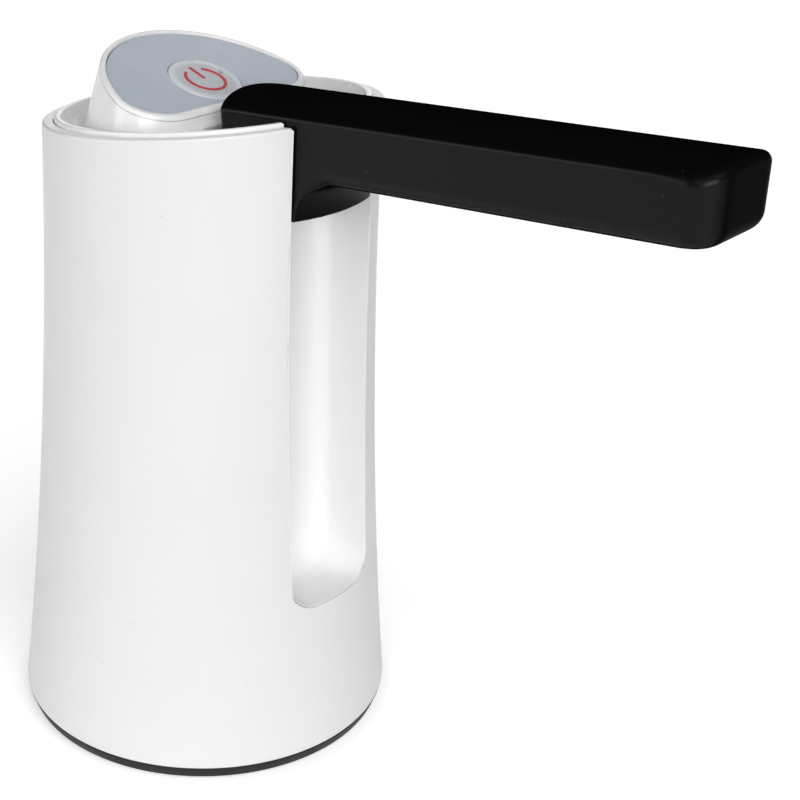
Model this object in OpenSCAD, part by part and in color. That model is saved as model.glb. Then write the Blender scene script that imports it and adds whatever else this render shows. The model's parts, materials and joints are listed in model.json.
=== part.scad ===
// Electric water jug pump with a folding spout arm.
// The origin is the centre of the foot ring on the table, +X points along the open arm and +Z is up.

/* [Body] */
// Width of the foot outside the bottle bore
foot_w = 11.5; // [10.5:0.5:14]
// Diameter of the shell at the rim
rim_d = 66.4; // [66:0.2:70]
// Slope of the rim, which rises towards the arm
rim_tilt = 8.5; // [7:0.5:9.5]
// Wall of the outer shell
shell_wall = 2.2; // [1.8:0.1:2.4]
// Height of the foot ring
ring_h = 2.8; // [2.2:0.2:4]
// How far the foot ring draws in at the table
ring_inset = 1; // [0.4:0.1:2]

/* [Bottle socket] */
// Bore that slips over the bottle neck
neck_d = 57; // [56:0.2:58]
// Depth of the socket
socket_h = 18; // [16:0.5:19]
// Room above the socket for the suction nipple
chamber_h = 12; // [10:0.5:13]
// Step between the socket's bore and that room
shoulder_w = 4.5; // [4:0.1:5]
// Wall of the socket
cup_wall = 2; // [1.6:0.1:2.4]
// Thickness of the ceiling over that room
ceiling_t = 2.4; // [2:0.1:3]
// Width of the sealing ring above the socket
gasket_w = 3; // [2.4:0.2:3.4]
// Thickness of the sealing ring
gasket_t = 2; // [1.5:0.1:3]

/* [Arm] */
// Hinge axis, measured in from the rim
hinge_inset = 9.9; // [9.4:0.1:10.4]
// Hinge axis, measured down from the rim height
hinge_drop = 2.6; // [2:0.1:3.2]
// Rise of the open arm above level
arm_rise = 5.9; // [5:0.1:7]
// Turn of the arm from open to folded
fold_angle = 93.5; // [92:0.5:95]
// Length from the hinge to the upper edge of the tip
arm_reach = 93.4; // [80:0.1:94]
// Lean of the tip's end face, which stands plumb when the arm is open
tip_lean = 5.4; // [0:0.1:7]
// Height of the arm's sides
arm_side_h = 12.3; // [11.8:0.1:12.8]
// Top edge of the sides above the hinge axis
arm_over = 8.1; // [7.9:0.1:8.6]
// Radius of the crowned top face
crown_r = 34; // [30:1:45]
// How much each side draws in towards the tip
arm_taper = 0.15; // [0.05:0.05:0.8]
// Corner radius of the tip, seen from above
tip_corner = 5.8; // [4:0.2:7]
// Radius along the lower edges
lower_corner = 3.5; // [2:0.1:4]
// Knuckle end behind the hinge
knuckle_back = 13.8; // [13:0.1:14]
// Radius of the knuckle end, seen from above
knuckle_end_r = 20; // [18:1:26]
// Radius of the hinge barrel
barrel_r = 7.8; // [7.4:0.1:8]
// Lower edge of the apron below the hinge axis
apron_drop = 10.5; // [9:0.1:10.8]
// Thickness of the apron
apron_t = 2.6; // [2:0.1:3.2]
// Blend between the apron and the underside of the arm
root_fillet = 8; // [6:0.5:8.5]
// Gap between the arm and the channel walls, each side
arm_gap = 0.35; // [0.3:0.05:0.5]

/* [Channel] */
// Width of the channel that takes the folded arm
slot_w = 23.2; // [22:0.2:24]
// Height of the channel's lower lip
lip_z = 36.2; // [35.4:0.2:44]
// Gap between the folded tip and the lower lip
tip_gap = 0.5; // [0.4:0.1:2]
// Corner radius at the lower lip
lip_corner = 5.6; // [3:0.2:6]
// Room behind the folded arm
floor_gap = 1; // [0.9:0.1:1.4]
// Fillet between the floor and the walls
channel_fillet = 3; // [2:0.2:4]
// Wall of the channel liner
liner_wall = 1.4; // [1.2:0.1:1.6]
// Radius of the hollow that the knuckle turns in
cavity_r = 15; // [14.9:0.1:15.4]

/* [Top] */
// Depth of the deck below the rim
deck_drop = 2; // [1.4:0.1:3]
// Thickness of the deck
deck_t = 1.6; // [1.4:0.1:2]
// Thickness of the lip inside the rim
lip_t = 1.3; // [1:0.1:1.8]
// Height of the lip over the rim
lip_up = 0.8; // [0.4:0.1:1.2]
// Control panel height over the rim, on the body axis
panel_rise = 4.4; // [4:0.1:6]
// Slope of the control panel, which falls towards the arm
panel_tilt = 17; // [15:0.5:20]
// Turret centre, forward of the body axis
turret_x = 1.8; // [1.4:0.1:2.4]
// Turret radius at panel height
turret_r = 24.2; // [23:0.1:24.6]
// Taper of the turret's sides
turret_taper = 14.5; // [10:0.5:15.5]
// Flat face towards the arm, at panel height
turret_flat = 6.3; // [5.5:0.1:6.6]
// Corner radius beside the flat face
turret_corner = 8.4; // [7:0.2:9]
// Wall of the turret
turret_wall = 2; // [1.6:0.1:2.4]
// White border round the panel
lens_border = 1.2; // [1:0.05:1.6]
// Depth of the panel below the border
lens_inset = 0.35; // [0.2:0.05:0.6]
// Thickness of the panel
lens_t = 1.8; // [1.4:0.1:2.2]
// Frame that the panel rests on
seat_t = 1.8; // [1.4:0.1:2.4]

/* [Power key] */
// Key centre along the panel
key_u = -2.4; // [-4:0.1:-1]
// Radius of the key
key_r = 7.2; // [6.4:0.1:7.6]
// Gap round the key
key_gap = 0.3; // [0.25:0.05:0.5]
// Travel of the key
key_travel = 0.6; // [0.3:0.1:0.8]
// Radius of the power symbol
icon_r = 4; // [3.4:0.1:5]
// Line width of the power symbol
icon_line = 0.6; // [0.5:0.05:1]
// Opening in the power symbol's ring
icon_gap = 64; // [40:2:80]

/* [Pump and motor] */
// Motor axis, across the body
motor_x = -6; // [-8:0.5:-5]
// Motor axis, to the side of the body
motor_y = -14; // [-15:0.5:-13]
// Motor can diameter
motor_d = 24.4; // [20:0.2:25]
// Motor can length
motor_l = 30.8; // [24:0.2:34]
// Motor shaft diameter
shaft_d = 2.3; // [2:0.1:3]
// Teeth on each pump gear
gear_teeth = 9; // [8:1:10]
// Tooth module of the pump gears
gear_mod = 0.9; // [0.8:0.05:1]
// Thickness of the pump gears
gear_t = 8; // [5:0.5:9]
// Diameter of the pump body
pump_d = 25; // [24:0.5:27]
// Top of the mounting plate
plate_z = 63; // [60:0.5:66]
// Thickness of the mounting plate
plate_t = 2.6; // [2:0.1:3.2]

/* [Cell] */
// Cell axis, across the body
cell_x = -6; // [-8:0.5:-4]
// Cell axis, to the side of the body
cell_y = 15; // [14:0.5:16]
// Cell diameter
cell_d = 18.4; // [18:0.1:18.6]
// Cell length
cell_l = 65; // [60:0.5:66]

/* [Water path] */
// Inner hose bore
hose_id = 3.2; // [2.8:0.1:3.4]
// Inner hose outside diameter
hose_od = 5; // [4.6:0.1:5]
// Bend radius of the inner hose
hose_bend = 7; // [6:0.5:8]
// Hinge pin diameter
pin_d = 6; // [5.6:0.1:6.4]
// Bore of the spout outlet
outlet_d = 6.4; // [6:0.1:6.8]
// Spout outlet, measured back from the tip
outlet_back = 11; // [9.6:0.1:14]

/* [Charging] */
// Height of the charging socket
port_z = 44; // [40:0.5:50]
// Width of the charging socket
port_w = 9; // [8.6:0.1:9.4]
// Height of the charging socket's shell
port_h = 3.3; // [3:0.1:3.6]

/* [Fits] */
// Gap between pieces that are fixed together
fit = 0.1; // [0.05:0.05:0.2]
// Radial gap of a turning fit
run = 0.05; // [0.02:0.01:0.1]
// Gap between pieces that move past each other
clear = 0.3; // [0.25:0.05:0.4]

/* [Hidden] */

// Large enough to reach past every piece in a cut
far = 200;
round_fn = 96;

// Heights: the folded arm stands over the lower lip, and the hinge and the rim follow from it
base_d = neck_d + 2 * foot_w;
fold_turn = fold_angle - arm_rise;
hinge_z = lip_z + tip_gap + arm_reach * sin(fold_turn) - arm_over * cos(fold_turn);
rim_z = hinge_z + hinge_drop;

// Body curve: one arc that stands upright at the rim
flare = (base_d - rim_d) / 2;
flare_r = (pow(rim_z - ring_h, 2) + pow(flare, 2)) / (2 * flare);
body_top = rim_z + rim_d / 2 * tan(rim_tilt) + 4;

// Radius of the body at a height, measured in from the outside
function body_r(z, inset) = rim_d / 2 + flare_r - sqrt(pow(flare_r + inset, 2) - pow(z - rim_z, 2));

// Hinge and arm
hinge_x = rim_d / 2 - hinge_inset;
arm_half = slot_w / 2 - arm_gap;
arm_under = arm_over - arm_side_h;
crown_drop = crown_r - sqrt(pow(crown_r, 2) - pow(arm_half, 2));
arm_crown = arm_over + crown_drop;
arm_wall = 2.6;
hollow_half = arm_half - arm_taper - arm_wall;
hollow_start = body_r(hinge_z - apron_drop, 0) - hinge_x + root_fillet + 1.2;
hollow_end = arm_reach - arm_side_h * tan(tip_lean) - arm_wall;
hollow_corner = tip_corner - 1.3;
hollow_top = arm_over - 1.6;
cover_t = 1.6;
outlet_u = arm_reach - outlet_back;
outlet_wall = 1.2;
flange_drop = 0.4;
tube_w = 1.4;
tube_od = hose_od + 1;
barb_l = 6;

// Channel
floor_w = arm_under - floor_gap;
liner_half = slot_w / 2 + liner_wall;

// Top
panel_z = rim_z + panel_rise;
seat_depth = lens_inset + lens_t;
under_seat = seat_depth + seat_t;
corner_x = turret_flat - turret_corner;
corner_y = sqrt(pow(turret_r - turret_corner, 2) - pow(corner_x - turret_x, 2));
key_hole_r = key_r + key_gap;
flange_top = under_seat + clear;
flange_t = 0.8;
key_lip = 1.1;
stem_r = 1.3;
stem_l = 2.2;
switch_top = flange_top + flange_t + key_travel + 0.5;
switch_h = 3.4;
switch_w = 6.2;
board_top = switch_top + switch_h;
board_t = 1.6;
board_inset = 5;
boss_r = 2.4;
boss_spots = [[-9.5, -10.5], [-9.5, 10.5], [1, -14], [1, 14]];

// Pump
gear_pitch_r = gear_mod * gear_teeth / 2;
gear_tip_r = gear_pitch_r + 0.85 * gear_mod;
gear_base_r = gear_pitch_r * cos(25);
gear_root_r = gear_pitch_r - 1.05 * gear_mod;
idler_dx = 2 * gear_pitch_r + 0.12;
pump_x = motor_x + idler_dx / 2;
seal_t = 3;
plate_low = plate_z - plate_t;
pump_top = plate_low;
pump_h = seal_t + gear_t + 5;
pump_low = pump_top - pump_h;
gear_low = pump_low + fit;
lid_t = 4;
lid_low = pump_low - lid_t;
outlet_z = pump_low + gear_t + 2.6;
pump_screw_r = pump_d / 2 - 1.9;
nipple_x = pump_x;
nipple_y = motor_y + 3;
nipple_r = 3.2;
nipple_bore = 2;
nipple_tip = socket_h + 0.8;
grommet_r = nipple_r + 2;

// Motor
can_wall = 0.8;
can_low = plate_z;
can_top = can_low + motor_l;
cap_t = 2.6;
magnet_t = 2.8;
rotor_r = motor_d / 2 - can_wall - magnet_t - 0.5;
rotor_margin = 5;

// Posts, screws and cell
ceiling_z = socket_h + chamber_h;
cup_top = ceiling_z + ceiling_t;
cell_low = cup_top + 1.6;
post_r = 3;
chamber_d = neck_d - 2 * shoulder_w;
post_spots = chamber_d / 2 * [[-0.875, 0], [0.54, -0.04], [0.375, 0.73]];
frame_r = rim_d / 2 - shell_wall - 0.6;
screw_r = 1.1;
head_r = 2.1;
head_t = 1.4;
base_screw_angles = [50, 130, 230, 310];
base_boss_r = 3;
base_boss_h = 10;
base_screw_at = body_r(ring_h + 9, shell_wall) - 2.6;
cup_flange_t = 3.2;
base_screw_l = cup_flange_t - head_t + fit + 0.7 * base_boss_h;
frame_screw_l = ceiling_t + 7;
recess_w = 0.5;
recess_deep = 0.7;

// Hinge pins
pin_r = pin_d / 2;
bush_wall = 1.5;
bush_r = pin_r + run + bush_wall;
bush_in = 6.6;
seal_in = 4.8;
hose_y = liner_half + hose_od / 2 + 0.4;
pin_head_t = 1.4;
pin_head_r = pin_r + 1.2;
chamber_end = 2;
pump_barb_l = hinge_x - hose_bend - pump_x - pump_d / 2 - 0.8;

// Charging
port_depth = 7.4;
port_x = -body_r(port_z, 0) + 0.6;
port_wall = 0.35;
charge_board_w = 14;
charge_board_t = 1.2;
charge_board_low = port_z - port_h / 2 - charge_board_t;
charge_board_x = clear - sqrt(pow(body_r(port_z, shell_wall), 2) - pow(charge_board_w / 2, 2));
charge_board_l = post_spots[0][0] - post_r - fit - charge_board_x;

// Shared shapes

module rim_frame() {
    translate([0, 0, rim_z]) rotate([0, -rim_tilt, 0]) children();
}

module panel_frame() {
    translate([0, 0, panel_z]) rotate([0, panel_tilt, 0]) children();
}

module key_frame() {
    panel_frame() translate([key_u, 0, 0]) children();
}

module arm_frame() {
    translate([hinge_x, 0, hinge_z]) rotate([0, -arm_rise, 0]) children();
}

module folded_frame() {
    translate([hinge_x, 0, hinge_z]) rotate([0, fold_turn, 0]) children();
}

// A slab between two heights of the frame it is called in
module slab(low, high) {
    translate([-far, -far, low]) cube([2 * far, 2 * far, high - low]);
}

// Runs an outline of width and height along +X
module along_x(length) {
    rotate([90, 0, 90]) linear_extrude(length) children();
}

module along_y(radius, from, to) {
    translate([0, from, 0]) rotate([-90, 0, 0]) cylinder(h = to - from, r = radius, $fn = 64);
}

// The body's outer form, drawn in by inset
module body_form(inset, low, high) {
    rotate_extrude($fn = 180)
        difference() {
            translate([0, low]) square([base_d, high - low]);
            translate([rim_d / 2 + flare_r, rim_z]) circle(r = flare_r + inset, $fn = 1440);
        }
}

// The body near its rim, where it stands upright, drawn in by inset
module rim_form(inset) {
    translate([0, 0, rim_z - 40]) cylinder(h = 80, r = rim_d / 2 - inset, $fn = 180);
}

// An upright slot outline with two rounded lower corners
module slot_outline(half, bottom, radius, height) {
    translate([-half, bottom + radius]) square([2 * half, height]);
    translate([radius - half, bottom]) square([2 * (half - radius), 2 * radius]);
    for (side = [-1, 1])
        translate([side * (half - radius), bottom + radius]) circle(r = radius, $fn = 64);
}

module slot_prism() {
    along_x(base_d) slot_outline(slot_w / 2, lip_z, lip_corner, far);
}

// The tapered turret with one flat face and two round corners
module turret_form(inset) {
    low = rim_z - 16;
    high = panel_z + 12;
    lean = tan(turret_taper);
    grow_low = (panel_z - low) * lean - inset;
    grow_high = (panel_z - high) * lean - inset;
    intersection() {
        translate([turret_x, 0, low])
            cylinder(h = high - low, r1 = turret_r + grow_low, r2 = turret_r + grow_high, $fn = 128);
        union() {
            translate([corner_x - far, -far, low]) cube([far, 2 * far, high - low]);
            rotate([90, 0, 0]) linear_extrude(2 * corner_y, center = true)
                polygon([[corner_x - 1, low], [turret_flat + grow_low, low],
                    [turret_flat + grow_high, high], [corner_x - 1, high]]);
            for (side = [-1, 1])
                translate([corner_x, side * corner_y, low])
                    cylinder(h = high - low, r1 = turret_corner + grow_low,
                        r2 = max(0.1, turret_corner + grow_high), $fn = 64);
        }
    }
}

// A cross-head screw that stands head up at the origin
module screw(length) {
    difference() {
        cylinder(h = head_t, r = head_r, $fn = 32);
        for (turn = [0, 90])
            rotate(turn) translate([-0.65 * head_r, -recess_w / 2, head_t - recess_deep])
                cube([1.3 * head_r, recess_w, head_t]);
    }
    translate([0, 0, -length]) cylinder(h = length + recess_deep / 2, r = screw_r, $fn = 32);
}

// One flank point of an involute tooth, at a roll angle in degrees
function flank(roll, base) = [base * sqrt(1 + pow(roll * PI / 180, 2)), roll - atan(roll * PI / 180)];

// Pump gear outline with involute flanks
module gear_outline() {
    roll_end = sqrt(pow(gear_tip_r / gear_base_r, 2) - 1) * 180 / PI;
    roll_pitch = sqrt(pow(gear_pitch_r / gear_base_r, 2) - 1) * 180 / PI;
    half_tooth = 90 / gear_teeth - 2.2 + flank(roll_pitch, gear_base_r)[1];
    steps = 4;
    rising = [for (i = [0 : steps]) flank(roll_end * i / steps, gear_base_r)];
    side = concat([[gear_root_r, 0]], rising);
    count = len(side);
    polygon([for (tooth = [0 : gear_teeth - 1], i = [0 : 2 * count - 1])
        let (lower = i < count,
            p = lower ? side[i] : side[2 * count - 1 - i],
            turn = 360 / gear_teeth * tooth + (lower ? p[1] - half_tooth : half_tooth - p[1]))
        p[0] * [cos(turn), sin(turn)]]);
}

// Body

module outer_shell() {
    color("white")
        difference() {
            intersection() {
                union() {
                    difference() {
                        body_form(0, ring_h, body_top);
                        body_form(shell_wall, ring_h - 1, body_top + 1);
                    }
                    deck_ledge();
                    intersection() {
                        body_form(shell_wall / 2, ring_h, body_top);
                        for (a = base_screw_angles)
                            rotate(a) translate([base_screw_at, 0, ring_h + cup_flange_t + fit])
                                cylinder(h = base_boss_h, r = base_boss_r, $fn = 40);
                    }
                }
                rim_frame() slab(-far, 0);
            }
            slot_prism();
            for (a = base_screw_angles)
                rotate(a) translate([base_screw_at, 0, ring_h])
                    cylinder(h = head_t + base_screw_l + 0.6, r = screw_r + fit, $fn = 32);
            translate([-base_d, 0, port_z])
                along_x(base_d / 2 + 10)
                    port_outline(port_w / 2 + 0.4, port_h / 2 + 0.4);
        }
}

// Ledge inside the rear of the shell that carries the deck
module deck_ledge() {
    under = deck_drop + deck_t;
    difference() {
        intersection() {
            rim_form(shell_wall / 2);
            rim_frame() slab(-under - 1.6, -under);
            translate([8 - far, -far, 0]) cube([far, 2 * far, far]);
        }
        rim_form(shell_wall + 1.2);
    }
}

module port_outline(half_w, half_h) {
    square([2 * (half_w - half_h), 2 * half_h], center = true);
    for (side = [-1, 1])
        translate([side * (half_w - half_h), 0]) circle(r = half_h, $fn = 40);
}

module base_ring() {
    inner = neck_d / 2 + cup_wall + fit;
    color([0.2, 0.2, 0.22])
        rotate_extrude($fn = 180)
            polygon([[inner, 0], [base_d / 2 - ring_inset, 0], [base_d / 2, ring_h], [inner, ring_h]]);
}

module base_cup() {
    flange_top_z = ring_h + cup_flange_t;
    gasket_r = chamber_d / 2 + gasket_w + fit;
    color("whitesmoke")
        difference() {
            union() {
                cylinder(h = socket_h + gasket_t + cup_wall, r = neck_d / 2 + cup_wall, $fn = round_fn);
                cylinder(h = cup_top, r = chamber_d / 2 + cup_wall, $fn = round_fn);
                intersection() {
                    body_form(shell_wall + fit, ring_h, flange_top_z);
                    cylinder(h = flange_top_z, r = base_d, $fn = round_fn);
                }
            }
            translate([0, 0, -1]) cylinder(h = socket_h + 1, r = neck_d / 2, $fn = round_fn);
            translate([0, 0, socket_h - 1]) cylinder(h = gasket_t + 1, r = gasket_r, $fn = round_fn);
            translate([0, 0, socket_h - 1])
                cylinder(h = chamber_h + 1, r = chamber_d / 2, $fn = round_fn);
            translate([nipple_x, nipple_y, ceiling_z - 1])
                cylinder(h = ceiling_t + 2, r = grommet_r + fit, $fn = 48);
            for (p = post_spots)
                translate([p[0], p[1], ceiling_z - 1])
                    cylinder(h = ceiling_t + 2, r = screw_r + fit, $fn = 32);
            for (a = base_screw_angles)
                rotate(a) translate([base_screw_at, 0, 0]) {
                    cylinder(h = ring_h + head_t + fit, r = head_r + fit, $fn = 32);
                    cylinder(h = flange_top_z + 1, r = screw_r + fit, $fn = 32);
                }
        }
}

module base_screws() {
    color("silver")
        for (a = base_screw_angles)
            rotate(a) translate([base_screw_at, 0, ring_h + head_t]) rotate([180, 0, 0]) screw(base_screw_l);
}

module neck_gasket() {
    color([0.75, 0.78, 0.8])
        translate([0, 0, socket_h])
            difference() {
                cylinder(h = gasket_t, r = chamber_d / 2 + gasket_w, $fn = round_fn);
                translate([0, 0, -1]) cylinder(h = gasket_t + 2, r = chamber_d / 2, $fn = round_fn);
            }
}

module inlet_nipple() {
    barb = 0.5;
    color("gainsboro")
        translate([nipple_x, nipple_y, 0])
            difference() {
                union() {
                    translate([0, 0, nipple_tip])
                        cylinder(h = lid_low - nipple_tip, r = nipple_r, $fn = 48);
                    for (k = [0 : 1])
                        translate([0, 0, nipple_tip + 0.6 + 3 * k])
                            cylinder(h = 2, r1 = nipple_r, r2 = nipple_r + barb, $fn = 48);
                    translate([0, 0, lid_low - 2]) cylinder(h = 2, r = grommet_r, $fn = 48);
                }
                translate([0, 0, nipple_tip - 1])
                    cylinder(h = lid_low - nipple_tip + 2, r = nipple_bore, $fn = 40);
            }
}

module nipple_grommet() {
    color([0.3, 0.3, 0.32])
        translate([nipple_x, nipple_y, ceiling_z])
            difference() {
                union() {
                    cylinder(h = ceiling_t, r = grommet_r, $fn = 48);
                    translate([0, 0, ceiling_t]) cylinder(h = 1.2, r = grommet_r + 1.2, $fn = 48);
                }
                translate([0, 0, -1]) cylinder(h = ceiling_t + 4, r = nipple_r + run, $fn = 48);
            }
}

// Channel

module channel_liner() {
    cavity_half = slot_w / 2 + 0.25;
    color("white")
        difference() {
            intersection() {
                body_form(shell_wall + fit, lip_z - liner_wall, body_top);
                rim_frame() slab(-far, -deck_drop - deck_t - fit);
                translate([0, -liner_half, 0]) cube([far, 2 * liner_half, far]);
                union() {
                    folded_frame() translate([-30, -far, floor_w - liner_wall]) cube([far, 2 * far, far]);
                    translate([hinge_x, 0, hinge_z]) along_y(cavity_r + liner_wall, -far / 2, far / 2);
                }
            }
            channel_hollow();
            translate([hinge_x, 0, hinge_z]) along_y(cavity_r, -cavity_half, cavity_half);
            translate([hinge_x, 0, hinge_z]) along_y(pin_r + fit / 2, -far, far);
            translate([hinge_x - pin_r - fit / 2, -far, hinge_z + 1]) cube([pin_d + fit, 2 * far, far]);
        }
}

// Room for the folded arm, with filleted floor edges and bevelled lower corners
module channel_hollow() {
    bevel = lip_corner * (2 - sqrt(2));
    intersection() {
        folded_frame()
            translate([-40, 0, 0]) along_x(far)
                slot_outline(slot_w / 2, floor_w, channel_fillet, far);
        along_x(base_d)
            polygon([[-slot_w / 2 - 1, far], [-slot_w / 2 - 1, lip_z + bevel + 1], [bevel - slot_w / 2, lip_z],
                [slot_w / 2 - bevel, lip_z], [slot_w / 2 + 1, lip_z + bevel + 1], [slot_w / 2 + 1, far]]);
    }
}

// Top

module top_cover() {
    color([0.93, 0.93, 0.94])
        difference() {
            union() {
                intersection() {
                    rim_form(shell_wall + fit);
                    rim_frame() slab(-deck_drop - deck_t, -deck_drop);
                }
                difference() {
                    intersection() {
                        rim_form(shell_wall + fit);
                        rim_frame() slab(-deck_drop - deck_t / 2, lip_up);
                    }
                    rim_form(shell_wall + fit + lip_t);
                }
                intersection() {
                    turret_form(0);
                    panel_frame() slab(-far, 0);
                    rim_frame() slab(-deck_drop - deck_t, far);
                }
            }
            difference() {
                intersection() {
                    turret_form(turret_wall);
                    panel_frame() slab(-far, -under_seat);
                }
                board_bosses();
            }
            intersection() {
                turret_form(lens_border);
                panel_frame() slab(-seat_depth, far);
            }
            key_frame() translate([0, 0, -far]) cylinder(h = 2 * far, r = key_hole_r, $fn = 64);
            translate([hinge_x - cavity_r, -slot_w / 2, 0]) cube([far, slot_w, far]);
        }
}

// Pillars under the panel seat that carry the board
module board_bosses() {
    panel_frame()
        for (p = boss_spots)
            translate([p[0], p[1], -board_top])
                difference() {
                    cylinder(h = board_top, r = boss_r, $fn = 40);
                    translate([0, 0, -1]) cylinder(h = 5, r = screw_r + fit, $fn = 32);
                }
}

module panel_lens() {
    color([0.66, 0.69, 0.72])
        difference() {
            intersection() {
                turret_form(lens_border + fit);
                panel_frame() slab(-seat_depth, -lens_inset);
            }
            key_frame() translate([0, 0, -far]) cylinder(h = 2 * far, r = key_hole_r, $fn = 64);
        }
}

module power_button() {
    bevel = 0.35;
    color([0.7, 0.73, 0.76])
        key_frame() {
            translate([0, 0, -lens_inset - bevel])
                cylinder(h = bevel, r1 = key_r, r2 = key_r - bevel, $fn = 64);
            translate([0, 0, -flange_top])
                cylinder(h = flange_top - lens_inset - bevel, r = key_r, $fn = 64);
            translate([0, 0, -flange_top - flange_t])
                cylinder(h = flange_t, r = key_r + key_lip, $fn = 64);
            translate([0, 0, -flange_top - flange_t - stem_l]) cylinder(h = stem_l, r = stem_r, $fn = 40);
        }
}

module power_icon() {
    height = 0.15;
    reach = icon_r + 2;
    spread = reach * tan(icon_gap / 2);
    color([0.8, 0.1, 0.2])
        key_frame() translate([0, 0, -lens_inset]) linear_extrude(height) {
            difference() {
                circle(r = icon_r + icon_line / 2, $fn = 72);
                circle(r = icon_r - icon_line / 2, $fn = 72);
                polygon([[0, 0], [-reach, spread], [-reach, -spread]]);
            }
            translate([-icon_r - icon_line, -icon_line / 2]) square([icon_r + icon_line / 2, icon_line]);
        }
}

module led_window() {
    color([0.5, 0.53, 0.55])
        key_frame() translate([-0.9, icon_r + 1.1, -lens_inset]) cylinder(h = 0.12, r = 0.5, $fn = 32);
}

module tact_switch() {
    color([0.15, 0.15, 0.16])
        key_frame()
            difference() {
                translate([-switch_w / 2, -switch_w / 2, -board_top])
                    cube([switch_w, switch_w, switch_h]);
                translate([0, 0, -switch_top - stem_l]) cylinder(h = far, r = stem_r + clear, $fn = 40);
            }
}

module control_board() {
    color([0.1, 0.4, 0.25])
        difference() {
            intersection() {
                turret_form(board_inset);
                panel_frame() slab(-board_top - board_t, -board_top);
            }
            panel_frame()
                for (p = boss_spots)
                    translate([p[0], p[1], -far]) cylinder(h = far, r = screw_r + fit, $fn = 32);
        }
}

module board_screws() {
    color("silver")
        panel_frame()
            for (p = boss_spots)
                translate([p[0], p[1], -board_top - board_t]) rotate([180, 0, 0]) screw(board_t + 3);
}

// Arm

// Outline of the arm seen from above: sides that draw in and a round knuckle end
module arm_plan() {
    end_u = arm_reach + 5;
    draw_in = arm_taper / (arm_reach - hollow_start);
    end_half = arm_half - draw_in * (end_u - hollow_start);
    root_half = arm_half + draw_in * (far + hollow_start);
    intersection() {
        polygon([[-far, -root_half], [end_u, -end_half], [end_u, end_half], [-far, root_half]]);
        union() {
            translate([knuckle_end_r - knuckle_back, 0]) circle(r = knuckle_end_r, $fn = 180);
            translate([0, -far]) square([2 * far, 2 * far]);
        }
    }
}

// Round corners of the tip, seen square to its end face
module tip_plan() {
    inner_half = arm_half - arm_taper - tip_corner + 0.04;
    corner_u = arm_reach - tip_corner;
    translate([-far, -far]) square([far + corner_u, 2 * far]);
    translate([-far, -inner_half]) square([far + arm_reach, 2 * inner_half]);
    for (side = [-1, 1])
        translate([corner_u, side * inner_half]) circle(r = tip_corner, $fn = 64);
}

// Round lower edge of the tip, seen from the side
module tip_side() {
    radius = lower_corner - 0.2;
    mid_w = arm_under + radius - 0.02;
    mid_u = arm_reach - (arm_over - mid_w) * tan(tip_lean) - radius / cos(tip_lean) + 0.02;
    translate([-far, arm_under - 1]) square([far + mid_u, far]);
    translate([-far, mid_w]) square([2 * far, far]);
    translate([mid_u, mid_w]) circle(r = radius, $fn = 64);
}

// The bar of the arm: crowned top, flat sides, rounded lower edges and a leaning tip
module arm_bar() {
    arm_frame()
        intersection() {
            translate([-knuckle_back - 1, 0, 0]) along_x(arm_reach + knuckle_back + 4)
                intersection() {
                    translate([0, arm_crown - crown_r]) circle(r = crown_r, $fn = 360);
                    slot_outline(arm_half, arm_under, lower_corner, far);
                }
            translate([0, 0, -far]) linear_extrude(2 * far) arm_plan();
            translate([arm_reach, 0, arm_over]) rotate([0, tip_lean, 0]) translate([-arm_reach, 0, -far])
                linear_extrude(2 * far) tip_plan();
            rotate([90, 0, 0]) linear_extrude(2 * far, center = true) tip_side();
        }
}

// Front plate of the knuckle, flush with the body, and its blend into the bar
module arm_apron() {
    low = hinge_z - apron_drop;
    front = rim_d / 2;
    half = arm_half - 0.1;
    blend_x = front + root_fillet;
    blend_z = hinge_z + (blend_x - hinge_x) * tan(arm_rise) + arm_under / cos(arm_rise) + 0.25;
    intersection() {
        translate([hinge_x, -half, low]) cube([far, 2 * half, far]);
        union() {
            difference() {
                translate([0, 0, low - 1]) cylinder(h = apron_drop + 1, r = front, $fn = 180);
                translate([0, 0, low - 2]) cylinder(h = apron_drop + 4, r = front - apron_t, $fn = 180);
            }
            rotate_extrude($fn = 180)
                difference() {
                    translate([front - apron_t / 2, blend_z - root_fillet])
                        square([root_fillet + apron_t / 2, root_fillet + 2]);
                    translate([blend_x, blend_z - root_fillet]) circle(r = root_fillet, $fn = 96);
                }
        }
    }
}

// Hollow under the arm from above, drawn in by shrink, with round corners at the tip
module hollow_plan(shrink) {
    intersection() {
        rotate(90) slot_outline(hollow_half - shrink, shrink - hollow_end, hollow_corner - shrink, far);
        translate([hollow_start + shrink, -far]) square([far, 2 * far]);
    }
}

module arm_upper() {
    color([0.05, 0.05, 0.055])
        difference() {
            union() {
                arm_bar();
                translate([hinge_x, 0, hinge_z]) along_y(barrel_r, clear - arm_half, arm_half - clear);
                arm_apron();
            }
            arm_frame() {
                difference() {
                    translate([0, 0, -far]) linear_extrude(far + hollow_top) hollow_plan(0);
                    translate([hollow_start - 1, 0, tube_w]) along_x_bar(hose_id / 2 + 0.4, barb_l + 1);
                }
                along_y(bush_r + fit / 2, bush_in, far);
                along_y(bush_r + fit / 2, -far, -seal_in);
                along_y(pin_r + run, -far, chamber_end);
                along_y(pin_r + run, seal_in - fit, far);
                translate([0, 0, tube_w]) along_x_bar(hose_id / 2 - 0.6, hollow_start + barb_l + 1);
            }
        }
}

// A round bar along +X
module along_x_bar(radius, length) {
    rotate([0, 90, 0]) cylinder(h = length, r = radius, $fn = 40);
}

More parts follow.
